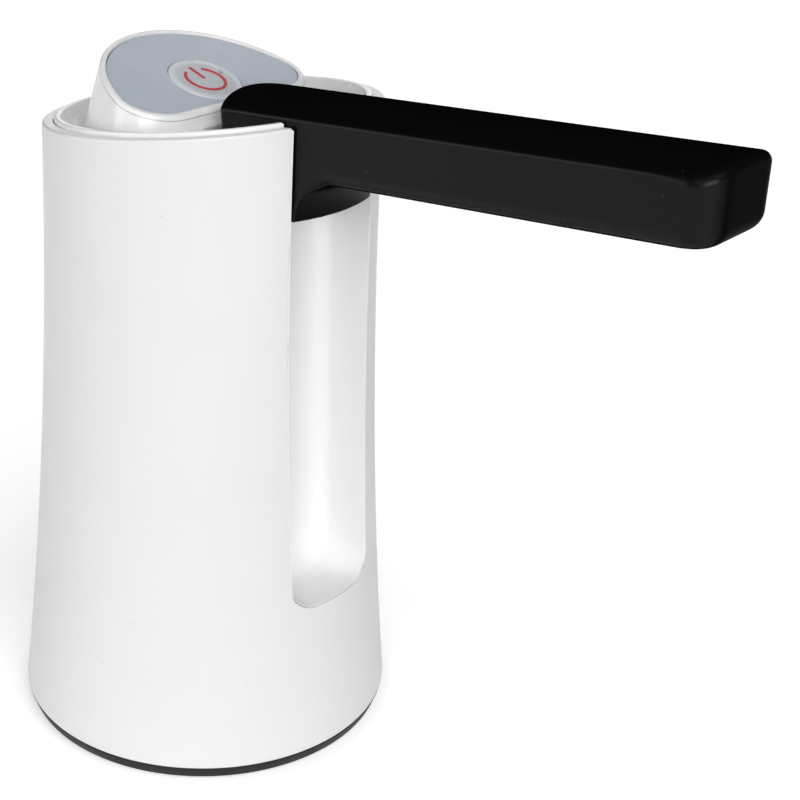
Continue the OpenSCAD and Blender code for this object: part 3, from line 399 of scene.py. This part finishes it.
def spaced(low, high, step, *fine):
    """Grid lines a step apart, and closer inside each (from, to, step) band."""
    lines = [low - 2 * step]
    while lines[-1] < high + 2 * step:
        here = lines[-1]
        near = [s for a, b, s in fine if a <= here < b]
        ahead = [a for a, b, s in fine if a > here]
        lines.append(min([here + min([step, *near]), *ahead]))
    return np.array(lines)


def with_rim(x, y, z):
    """Grid whose rows lean with the rim towards the top of the body."""
    lean_from, lean_to = 60.0, 110.0
    return x, y, z + x * math.tan(RIM_TILT) * ease(z, lean_from, lean_to)


def with_wall(x, y, z):
    """Grid whose square rings become circles round the body axis, and whose rows lean with the rim."""
    round_in = np.maximum(np.abs(x), np.abs(y)) / np.maximum(np.hypot(x, y), 1e-6)
    return with_rim(x * round_in, y * round_in, z)


def with_panel(x, y, z):
    """Grid whose rows lie along the control panel."""
    return x, y, z - x * math.tan(PANEL_TILT)


def with_top(x, y, z):
    """Grid whose rows follow the rim at the deck and the panel at the turret's top."""
    low, high = RIM_Z + 0.85, PANEL_Z - 0.5
    deck = x * math.tan(RIM_TILT)
    past = np.maximum(x - TURRET_FLAT, 0)
    panel = past * math.tan(RIM_TILT) - (x - past) * math.tan(PANEL_TILT)
    t = np.clip((z - low) / (high - low), 0, 1)
    return x, y, z + deck * (1 - t) + panel * t


def with_arm(u, y, w):
    """Grid along the open arm."""
    c, s = math.cos(ARM_RISE), math.sin(ARM_RISE)
    return HINGE_X + u * c - w * s, y, HINGE_Z + u * s + w * c


CORNERS = [np.array((i, j, k)) for i in (0, 1) for j in (0, 1) for k in (0, 1)]
EDGES = [(a, b) for a in CORNERS for b in CORNERS if (b - a).sum() == 1 and (b - a).min() == 0]


def slope(form, points):
    """Direction in which a signed distance grows fastest, at each point."""
    reach = 0.02
    out = np.empty_like(points)
    for axis in range(3):
        step = np.zeros(3)
        step[axis] = reach
        ahead, behind = (points + step).T, (points - step).T
        out[:, axis] = (form(*ahead) - form(*behind)) / (2 * reach)
    return out


def net_mesh(name, form, axes, warp):
    """Mesh of a signed distance: one vertex per crossed cell of a grid, drawn onto the surface."""
    rounds, most, least_slope = 5, 0.25, 0.2
    grid = warp(*np.meshgrid(*axes, indexing="ij"))
    f = form(*grid)
    place = np.stack(grid, -1)
    inside = f < 0
    count = sum(inside[c[0]:inside.shape[0] - 1 + c[0], c[1]:inside.shape[1] - 1 + c[1],
                       c[2]:inside.shape[2] - 1 + c[2]].astype(np.int8) for c in CORNERS)
    crossed = (count > 0) & (count < 8)
    cells = np.argwhere(crossed)
    ids = np.full(crossed.shape, -1, dtype=np.int64)
    ids[crossed] = np.arange(len(cells))
    total = np.zeros((len(cells), 3))
    hits = np.zeros(len(cells))
    for a, b in EDGES:
        at_a, at_b = tuple((cells + a).T), tuple((cells + b).T)
        fa, fb = f[at_a], f[at_b]
        cut = (fa < 0) != (fb < 0)
        t = np.where(cut, fa / np.where(cut, fa - fb, 1), 0)
        total += cut[:, None] * (place[at_a] + t[:, None] * (place[at_b] - place[at_a]))
        hits += cut
    points = total / hits[:, None]
    for _ in range(rounds):
        grow = slope(form, points)
        size = np.maximum((grow ** 2).sum(1), least_slope)
        move = -form(*points.T)[:, None] * grow / size[:, None]
        points += np.clip(move, -most, most)
    faces = []
    for axis in range(3):
        p, q = (axis + 1) % 3, (axis + 2) % 3
        ahead = [slice(None)] * 3
        behind = [slice(None)] * 3
        ahead[axis], behind[axis] = slice(1, None), slice(None, -1)
        for flip in (False, True):
            change = inside[tuple(behind)] & ~inside[tuple(ahead)]
            if flip:
                change = ~inside[tuple(behind)] & inside[tuple(ahead)]
            spots = np.argwhere(change)
            quad = []
            for dp, dq in ((1, 1), (0, 1), (0, 0), (1, 0)):
                shift = np.zeros(3, dtype=int)
                shift[p], shift[q] = dp, dq
                quad.append(ids[tuple((spots - shift).T)])
            quad = np.stack(quad, 1)
            faces.append(quad[:, ::-1] if flip else quad)
    faces = np.concatenate(faces)
    mesh = bpy.data.meshes.new(name)
    mesh.from_pydata((points * MM).tolist(), [], faces.tolist())
    normals = slope(form, points)
    normals /= np.maximum(np.linalg.norm(normals, axis=1, keepdims=True), 1e-9)
    mesh.shade_smooth()
    mesh.normals_split_custom_set_from_vertices(normals.tolist())
    return mesh


def lathe_mesh(name, profile, steps):
    """Mesh of a closed profile of (radius, height) points turned round the body axis."""
    turns = [2 * math.pi * i / steps for i in range(steps)]
    points = [(r * math.cos(t) * MM, r * math.sin(t) * MM, z * MM) for t in turns for r, z in profile]
    n = len(profile)
    faces = []
    for i in range(steps):
        for j in range(n):
            a, b = i * n, (i + 1) % steps * n
            faces.append((a + j, b + j, b + (j + 1) % n, a + (j + 1) % n))
    mesh = bpy.data.meshes.new(name)
    mesh.from_pydata(points, [], faces)
    mesh.shade_smooth()
    return mesh


def piece(mesh, node, body, material):
    """Object of a mesh that stands for a CAD node and rides on its body."""
    obj = bpy.data.objects.new(mesh.name, mesh)
    bpy.context.collection.objects.link(obj)
    mesh.materials.append(material)
    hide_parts(node)
    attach(obj, body)


# Materials

# Where most of a noise's values lie, and a narrower range for clearer patches
NOISE_RANGE = (0.3, 0.7)
CLOUD_RANGE = (0.35, 0.65)


def new_material(name):
    """A node material, with its nodes, its links and its shader."""
    mat = bpy.data.materials.new(name)
    mat.use_nodes = True
    nodes = mat.node_tree.nodes
    return mat, nodes, mat.node_tree.links, nodes["Principled BSDF"]


def own_place(nodes):
    """Place on the object, in its own coordinates."""
    return nodes.new("ShaderNodeTexCoord").outputs["Object"]


def split(nodes, links, vector):
    """X, Y and Z of a vector."""
    node = nodes.new("ShaderNodeSeparateXYZ")
    links.new(vector, node.inputs["Vector"])
    return node.outputs["X"], node.outputs["Y"], node.outputs["Z"]


def work_out(nodes, links, operation, *values):
    """Result of one operation on other nodes' results."""
    node = nodes.new("ShaderNodeMath")
    node.operation = operation
    for socket, value in zip(node.inputs, values):
        links.new(value, socket)
    return node.outputs["Value"]


def noise(nodes, links, scale, detail):
    """Noise on the object's own coordinates, in features per metre."""
    tex = nodes.new("ShaderNodeTexNoise")
    tex.inputs["Scale"].default_value = scale
    tex.inputs["Detail"].default_value = detail
    links.new(own_place(nodes), tex.inputs["Vector"])
    return tex.outputs["Fac"]


def dots(nodes, links, scale):
    """Distance to sparse points in the material, in parts of the cell size."""
    tex = nodes.new("ShaderNodeTexVoronoi")
    tex.inputs["Scale"].default_value = scale
    links.new(own_place(nodes), tex.inputs["Vector"])
    return tex.outputs["Distance"]


def spread(nodes, links, value, low, high, to_low, to_high):
    """Maps a value's range onto another."""
    node = nodes.new("ShaderNodeMapRange")
    for key, number in (("From Min", low), ("From Max", high), ("To Min", to_low), ("To Max", to_high)):
        node.inputs[key].default_value = number
    links.new(value, node.inputs["Value"])
    return node.outputs["Result"]


def mix(nodes, links, factor, first, second):
    """Colour between two, by a factor; the first may be another node's result."""
    node = nodes.new("ShaderNodeMix")
    node.data_type = "RGBA"
    if isinstance(first, tuple):
        node.inputs["A"].default_value = (*first, 1)
    else:
        links.new(first, node.inputs["A"])
    node.inputs["B"].default_value = (*second, 1)
    links.new(factor, node.inputs["Factor"])
    return node.outputs["Result"]


def darker(colour, share):
    """A colour with a share of its light taken away."""
    return tuple(c * (1 - share) for c in colour)


def add_bump(nodes, links, shader, height, strength, distance):
    """Fine relief on a shader, from a height."""
    bump = nodes.new("ShaderNodeBump")
    bump.inputs["Strength"].default_value = strength
    bump.inputs["Distance"].default_value = distance
    links.new(height, bump.inputs["Height"])
    links.new(bump.outputs["Normal"], shader.inputs["Normal"])


def add_uneven_gloss(nodes, links, shader, value, roughness, least, most):
    """Roughness that follows a noise, between two shares of the plain one."""
    uneven = spread(nodes, links, value, *NOISE_RANGE, roughness * least, roughness * most)
    links.new(uneven, shader.inputs["Roughness"])


def painted_flank_sheen(nodes, links, elsewhere, painted_sheen_level):
    """Painted sheen on the black arm: its specular level is set by where a face points and where it lies,
    strong on the flanks, weaker on the apron and weakest elsewhere.

    Faces that look up or down get none, which keeps the top dark: painted shade.
    """
    apron, apron_end, bar_start = 0.035, COVE_R, COVE_R + 12
    side_from, side_to = 0.3, 0.65
    level_from, level_to = 0.25, 0.8
    coord = nodes.new("ShaderNodeTexCoord")
    x, _, _ = split(nodes, links, coord.outputs["Object"])
    _, sideways, upward = split(nodes, links, coord.outputs["Normal"])
    side = work_out(nodes, links, "ABSOLUTE", sideways)
    level = work_out(nodes, links, "ABSOLUTE", upward)
    # Painted sheen on the apron, fading out along the bar.
    on_root = spread(nodes, links, x, apron_end * MM, bar_start * MM, apron, elsewhere)
    on_flank = spread(nodes, links, side, side_from, side_to, elsewhere, painted_sheen_level)
    # No sheen on faces that look up or down: painted shade that keeps them dark.
    upright = spread(nodes, links, level, level_from, level_to, 1, 0)
    most = work_out(nodes, links, "MAXIMUM", on_flank, on_root)
    return work_out(nodes, links, "MULTIPLY", most, upright)


def panel_line(nodes, links):
    """Thin line round the turret, a little under its sloping top, where the bezel meets the wall."""
    under, half, strength = 0.75, 0.09, 0.65
    front_end, side_end, fade = TURRET_FLAT + 1.5, TURRET_R + 1, 0.5
    level = PANEL_Z * math.cos(PANEL_TILT) - under
    place = own_place(nodes)
    along = nodes.new("ShaderNodeVectorMath")
    along.operation = "DOT_PRODUCT"
    along.inputs[1].default_value = (math.sin(PANEL_TILT), 0, math.cos(PANEL_TILT))
    links.new(place, along.inputs[0])
    off = spread(nodes, links, along.outputs["Value"], (level - 1) * MM, (level + 1) * MM, -1, 1)
    size = work_out(nodes, links, "ABSOLUTE", off)
    line = spread(nodes, links, size, half * 0.5, half * 1.5, strength, 0)
    x, y, _ = split(nodes, links, place)
    side = work_out(nodes, links, "ABSOLUTE", y)
    for value, end in ((x, front_end), (side, side_end)):
        within = spread(nodes, links, value, end * MM, (end + fade) * MM, 1, 0)
        line = work_out(nodes, links, "MULTIPLY", line, within)
    return line


def painted_key_ring_highlight(nodes, links):
    """Painted highlight: a pale ring just inside the key's edge."""
    inner, outer, strength = 5.7, 6.5, 0.8
    c, s = math.cos(PANEL_TILT), math.sin(PANEL_TILT)
    middle = (KEY_U * c - LENS_INSET * s, 0, PANEL_Z - KEY_U * s - LENS_INSET * c)
    away = nodes.new("ShaderNodeVectorMath")
    away.operation = "DISTANCE"
    away.inputs[1].default_value = tuple(v * MM for v in middle)
    links.new(own_place(nodes), away.inputs[0])
    return spread(nodes, links, away.outputs["Value"], inner * MM, outer * MM, 0, strength)


def plastic(name, colour, roughness, grain=9000, grain_depth=0.00002, variation=0.03, specks=None,
            specular=0.5, coat=0.0, seam=None, ring=None, painted_sheen_level=None):
    """Moulded plastic: slight cloudiness, fine grain and uneven gloss.

    Where they are given: a colour for specks, for a seam and for a painted highlight ring on a key,
    and a painted sheen on the flanks.
    """
    cloud_scale, gloss_scale, speck_scale = 60, 140, 130
    speck_core, speck_end, speck_strength = 0.02, 0.03, 0.5
    mat, nodes, links, shader = new_material(name)
    cloud = spread(nodes, links, noise(nodes, links, cloud_scale, detail=3), *CLOUD_RANGE, 0, 1)
    base = mix(nodes, links, cloud, darker(colour, variation), colour)
    if specks:
        away = dots(nodes, links, speck_scale)
        near = spread(nodes, links, away, speck_core, speck_end, speck_strength, 0)
        base = mix(nodes, links, near, base, specks)
    if seam:
        base = mix(nodes, links, panel_line(nodes, links), base, seam)
    # The key's pale ring is a painted highlight.
    if ring:
        base = mix(nodes, links, painted_key_ring_highlight(nodes, links), base, ring)
    links.new(base, shader.inputs["Base Color"])
    patches = noise(nodes, links, gloss_scale, detail=3)
    add_uneven_gloss(nodes, links, shader, patches, roughness, least=0.85, most=1.15)
    relief = noise(nodes, links, grain, detail=2)
    add_bump(nodes, links, shader, relief, strength=0.25, distance=grain_depth)
    shader.inputs["IOR"].default_value = 1.5
    shader.inputs["Specular IOR Level"].default_value = specular
    # Painted sheen: the specular level follows the face's direction and place.
    if painted_sheen_level:
        links.new(painted_flank_sheen(nodes, links, specular, painted_sheen_level), shader.inputs["Specular IOR Level"])
    shader.inputs["Coat Weight"].default_value = coat
    shader.inputs["Coat Roughness"].default_value = 0.06
    return mat


def metal(name, colour, roughness, grain=5000):
    """Bare metal with fine machining marks."""
    variation = 0.2
    mat, nodes, links, shader = new_material(name)
    marks = noise(nodes, links, grain, detail=4)
    links.new(mix(nodes, links, marks, darker(colour, variation), colour), shader.inputs["Base Color"])
    add_uneven_gloss(nodes, links, shader, marks, roughness, least=0.8, most=1.25)
    shader.inputs["Metallic"].default_value = 1.0
    add_bump(nodes, links, shader, marks, strength=0.15, distance=0.00002)
    return mat


def rubber(name, colour, roughness, clear=0.0):
    """Soft rubber or silicone, uneven and matt, clear in part where it is a hose."""
    variation, cloud_scale, grain = 0.15, 300, 6000
    mat, nodes, links, shader = new_material(name)
    cloud = noise(nodes, links, cloud_scale, detail=4)
    links.new(mix(nodes, links, cloud, darker(colour, variation), colour), shader.inputs["Base Color"])
    add_uneven_gloss(nodes, links, shader, cloud, roughness, least=0.85, most=1.15)
    shader.inputs["Transmission Weight"].default_value = clear
    relief = noise(nodes, links, grain, detail=3)
    add_bump(nodes, links, shader, relief, strength=0.3, distance=0.00003)
    return mat


WHITE = plastic("white_gloss", (0.82, 0.82, 0.82), 0.34, variation=0.012, specks=(0.5, 0.5, 0.5))
# A brighter copy of the shell's white, to make up for the shade in the channel: painted light.
CHANNEL_LIT_WHITE = plastic("channel_lit_white", (0.925, 0.925, 0.925), 0.6, variation=0.01, specular=0.1)
# A brighter copy of the shell's white, to make up for the shade on the turret's front: painted light.
DECK_LIT_WHITE = plastic("deck_lit_white", (0.90, 0.90, 0.90), 0.25, variation=0.012, coat=0.12,
                     seam=(0.3, 0.3, 0.31))
# The arm's sheen is painted by face direction: the flanks shine, the top and underside stay dark.
BLACK = plastic("arm_black", (0.0035, 0.0035, 0.0036), 0.26, grain=7000, variation=0.15,
                specks=(0.05, 0.05, 0.05), specular=0.002, painted_sheen_level=0.15)
RING = plastic("ring_dark", (0.016, 0.016, 0.0165), 0.5, variation=0.1, specular=0.2)
GREY = plastic("lens_grey", (0.51, 0.565, 0.64), 0.22, variation=0.05)
# Its pale ring is a painted highlight.
KEY_GREY = plastic("key_grey", (0.54, 0.56, 0.60), 0.3, variation=0.03, ring=(0.72, 0.76, 0.78))
RED = plastic("icon_red", (0.56, 0.008, 0.028), 0.4, variation=0.06)
LED = plastic("led_grey", (0.36, 0.38, 0.40), 0.2)
INNER = plastic("inner_white", (0.68, 0.69, 0.70), 0.42, variation=0.05)
DARK = plastic("dark_plastic", (0.03, 0.03, 0.032), 0.5, variation=0.1)
CREAM = plastic("gear_cream", (0.62, 0.56, 0.42), 0.4, variation=0.06)
BOARD = plastic("board_green", (0.012, 0.10, 0.045), 0.35, grain=2500, grain_depth=0.00004, variation=0.3)
WRAP = plastic("cell_wrap", (0.03, 0.13, 0.36), 0.3, variation=0.1)
SILICONE = rubber("silicone", (0.55, 0.58, 0.60), 0.45)
DARK_RUBBER = rubber("dark_rubber", (0.035, 0.035, 0.036), 0.65)
HOSE = rubber("hose_clear", (0.70, 0.72, 0.74), 0.3, clear=0.35)
STEEL = metal("steel", (0.62, 0.62, 0.64), 0.28)
BRONZE = metal("bronze", (0.55, 0.38, 0.16), 0.35)
FERRITE = metal("ferrite", (0.10, 0.10, 0.105), 0.55)
LAMINATED = metal("laminations", (0.40, 0.36, 0.33), 0.4, grain=2500)

SLOT_MATERIALS = {
    "shell_white": WHITE, "cover_white": DECK_LIT_WHITE, "arm_black": BLACK, "ring_dark": RING,
    "inner_white": INNER, "silicone": SILICONE, "dark_rubber": DARK_RUBBER, "hose_clear": HOSE,
    "lens_grey": GREY, "icon_red": RED, "led_grey": LED, "board_green": BOARD,
    "black_plastic": DARK, "pump_grey": DARK, "gear_cream": CREAM, "steel": STEEL, "bronze": BRONZE,
    "ferrite": FERRITE, "laminations": LAMINATED, "cell_wrap": WRAP,
}
for part in frame["record"]["subparts"]:
    node = frame["nodes"][part["node"]]
    node.data.materials.clear()
    node.data.materials.append(SLOT_MATERIALS[part["material_slot"]])


# Pieces: grid lines lie closest where edges and fillets are

def both_sides(start, stop, step):
    """Two bands of closer grid lines, mirrored about the middle."""
    return (-stop, -start, step), (start, stop, step)


def shell():
    """White outer housing."""
    wall = both_sides(30.4, 40.6, 0.4)
    slot_edge = both_sides(12.2, 13.4, 0.15)
    lip_corner = both_sides(5.6, 12.2, 0.6)
    port_end = both_sides(2.9, 5.6, 0.35)
    foot_edge = (RING_H - 0.4, RING_H + 1, 0.15)
    lip_and_port = (34.5, 47, 0.4)
    rim = (RIM_Z - 1.4, RIM_Z + 0.4, 0.2)
    x = spaced(-BASE_R, BASE_R, 1.2, *wall)
    y = spaced(-BASE_R, BASE_R, 1.2, *wall, *slot_edge, *lip_corner, *port_end)
    z = spaced(RING_H, RIM_Z, 3.0, foot_edge, lip_and_port, rim)
    mesh = net_mesh("shell", shell_form, (x, y, z), with_wall)
    piece(mesh, "outer_shell", "body", WHITE)


def channel():
    """White channel for the folded arm."""
    low, high = node_box("channel_liner")
    floor_and_sleeve = (26, 38.5, 0.3)
    outer_wall = both_sides(12.2, 13.2, 0.3)
    sleeve = both_sides(11.2, 12.2, 0.1)
    fillet = both_sides(5, 11.2, 0.3)
    mark = (-5, -3.2, 0.2)
    scoop, scoop_end, cavity = (34.5, 43, 0.18), (43, 49, 0.3), (108, 140, 0.5)
    x = spaced(low[0], BASE_R, 0.7, floor_and_sleeve)
    y = spaced(low[1], high[1], 1.4, *outer_wall, *sleeve, *fillet, mark)
    z = spaced(low[2], RIM_Z + 6, 2.5, scoop, scoop_end, cavity)
    mesh = net_mesh("channel", liner_form, (x, y, z), with_rim)
    piece(mesh, "channel_liner", "body", CHANNEL_LIT_WHITE)


def top():
    """White deck and turret."""
    hinge_gap = both_sides(11.2, 12.2, 0.25)
    deck = (RIM_Z - 3.8, RIM_Z + 1.1, 0.25)
    panel_edge = (PANEL_Z - 1, PANEL_Z + 0.3, 0.15)
    x = spaced(-31, 31, 0.5)
    y = spaced(-31, 31, 0.5, *hinge_gap)
    z = spaced(RIM_Z - 15, PANEL_Z + 1, 0.6, deck, panel_edge)
    mesh = net_mesh("top", cover_form, (x, y, z), with_top)
    piece(mesh, "top_cover", "body", DECK_LIT_WHITE)


PANEL_FACE = (PANEL_Z - 0.9, PANEL_Z, 0.12)


def lens():
    """Grey window of the control panel."""
    x = spaced(-23, 9, 0.4)
    y = spaced(-24, 24, 0.4)
    z = spaced(PANEL_Z - 2.4, PANEL_Z, 0.3, PANEL_FACE)
    mesh = net_mesh("lens", lens_form, (x, y, z), with_panel)
    piece(mesh, "panel_lens", "body", GREY)


def key():
    """Round power key."""
    x = spaced(-12, 7, 0.3)
    y = spaced(-9, 9, 0.3)
    z = spaced(PANEL_Z - 8, PANEL_Z, 0.4, PANEL_FACE)
    mesh = net_mesh("key", key_form, (x, y, z), with_panel)
    piece(mesh, "power_button", "button", KEY_GREY)


def arm():
    """Black spout arm."""
    knuckle, tip = (-14.2, 22, 0.5), (85, ARM_REACH + 0.6, 0.4)
    side = both_sides(7.2, 11.6, 0.35)
    lower_edge, crown = (-4.6, -0.4, 0.35), (6.6, ARM_OVER + 2.2, 0.22)
    u = spaced(-KNUCKLE_BACK, ARM_REACH, 2.0, knuckle, tip)
    y = spaced(-ARM_HALF, ARM_HALF, 0.9, *side)
    w = spaced(-13, ARM_OVER + 2, 0.5, lower_edge, crown)
    mesh = net_mesh("arm", arm_form, (u, y, w), with_arm)
    piece(mesh, "arm_upper", "arm", BLACK)


def foot():
    """Dark foot ring: a turned profile with rounded edges."""
    arc_steps, turn_steps = 4, 180
    corners = ((RING_INNER_R, 0.0, 0.3), (BASE_R - RING_INSET, 0.0, 0.6), (BASE_R, RING_H, 0.25),
               (RING_INNER_R, RING_H, 0.25))
    profile = []
    for i, (r, z, edge) in enumerate(corners):
        here = Vector((r, z))
        before = (Vector(corners[i - 1][:2]) - here).normalized()
        after = (Vector(corners[(i + 1) % len(corners)][:2]) - here).normalized()
        half = before.angle(after) / 2
        reach = edge / math.tan(half)
        middle = here + (before + after).normalized() * edge / math.sin(half)
        first, last = here + before * reach - middle, here + after * reach - middle
        sweep = math.pi - 2 * half
        for k in range(arc_steps + 1):
            t = k / arc_steps
            arc = (first * math.sin((1 - t) * sweep) + last * math.sin(t * sweep)) / math.sin(sweep)
            r, z = middle + arc
            profile.append((r, max(z, 0.0)))
    piece(lathe_mesh("foot", profile, turn_steps), "base_ring", "body", RING)


shell()
channel()
top()
lens()
key()
arm()
foot()


# Camera

def towards(azimuth, elevation):
    """Direction from the object to a place; azimuth turns from the front, -Y, towards the arm."""
    level = math.cos(elevation)
    return Vector((math.sin(azimuth) * level, -math.cos(azimuth) * level, math.sin(elevation)))


def camera():
    """A camera at the photograph's place, with its small roll."""
    data = bpy.data.cameras.new("camera")
    data.sensor_width = SENSOR
    data.lens = LENS_MM
    data.clip_start, data.clip_end = 0.01, 60
    cam = bpy.data.objects.new("camera", data)
    bpy.context.collection.objects.link(cam)
    back = towards(CAMERA_AZIMUTH, CAMERA_ELEVATION)
    right = Vector((math.cos(CAMERA_AZIMUTH), math.sin(CAMERA_AZIMUTH), 0))
    up = back.cross(right)
    c, s = math.cos(CAMERA_ROLL), math.sin(CAMERA_ROLL)
    turned = Matrix((c * right + s * up, c * up - s * right, back)).transposed()
    cam.matrix_world = Matrix.Translation(Vector(CAMERA_PLACE) * MM) @ turned.to_4x4()
    bpy.context.scene.camera = cam


camera()


# Stage and light

WORLD_STRENGTH = 0.06
LAMP_SPREAD = math.radians(40)
# Azimuth and elevation in degrees, and strength
LAMPS = {
    "left_light": (-40, 10, 0.78),
    "front_light": (20, 35, 0.41),
    "right_light": (50, 10, 1.95),
    "far_right_light": (80, 60, 1.1),
    "back_light": (217, 15, 0.5),
}


def floor():
    """A pale floor that shows white to the camera and in reflections, and keeps the object's shadow."""
    half, drop, lift = 12.0, 0.0002, 0.5
    corners = [(-half, -half, 0), (half, -half, 0), (half, half, 0), (-half, half, 0)]
    mesh = bpy.data.meshes.new("floor")
    mesh.from_pydata(corners, [], [(0, 1, 2, 3)])
    obj = bpy.data.objects.new("floor", mesh)
    bpy.context.collection.objects.link(obj)
    mat, nodes, links, shader = new_material("floor_white")
    shader.inputs["Base Color"].default_value = (0.86, 0.86, 0.86, 1)
    shader.inputs["Roughness"].default_value = 0.9
    shader.inputs["Specular IOR Level"].default_value = 0.0
    shader.inputs["Emission Color"].default_value = (1, 1, 1, 1)
    path = nodes.new("ShaderNodeLightPath")
    seen = path.outputs["Is Camera Ray"]
    for way in ("Is Glossy Ray", "Is Transmission Ray"):
        seen = work_out(nodes, links, "MAXIMUM", seen, path.outputs[way])
    links.new(spread(nodes, links, seen, 0, 1, 0, lift), shader.inputs["Emission Strength"])
    mesh.materials.append(mat)
    obj.location.z = -drop


def world():
    """A dim, even surround."""
    studio = bpy.data.worlds.new("studio")
    bpy.context.scene.world = studio
    studio.use_nodes = True
    light = studio.node_tree.nodes["Background"]
    light.inputs["Color"].default_value = (1, 1, 1, 1)
    light.inputs["Strength"].default_value = WORLD_STRENGTH


def lamp(name, azimuth, elevation, strength):
    """A wide, far, soft light from a direction."""
    data = bpy.data.lights.new(name, "SUN")
    data.angle = LAMP_SPREAD
    data.energy = strength
    obj = bpy.data.objects.new(name, data)
    bpy.context.collection.objects.link(obj)
    back = towards(math.radians(azimuth), math.radians(elevation))
    obj.rotation_euler = back.to_track_quat("Z", "Y").to_euler()


floor()
world()
for lamp_name, setting in LAMPS.items():
    lamp(lamp_name, *setting)

bpy.context.scene.view_settings.view_transform = "Standard"
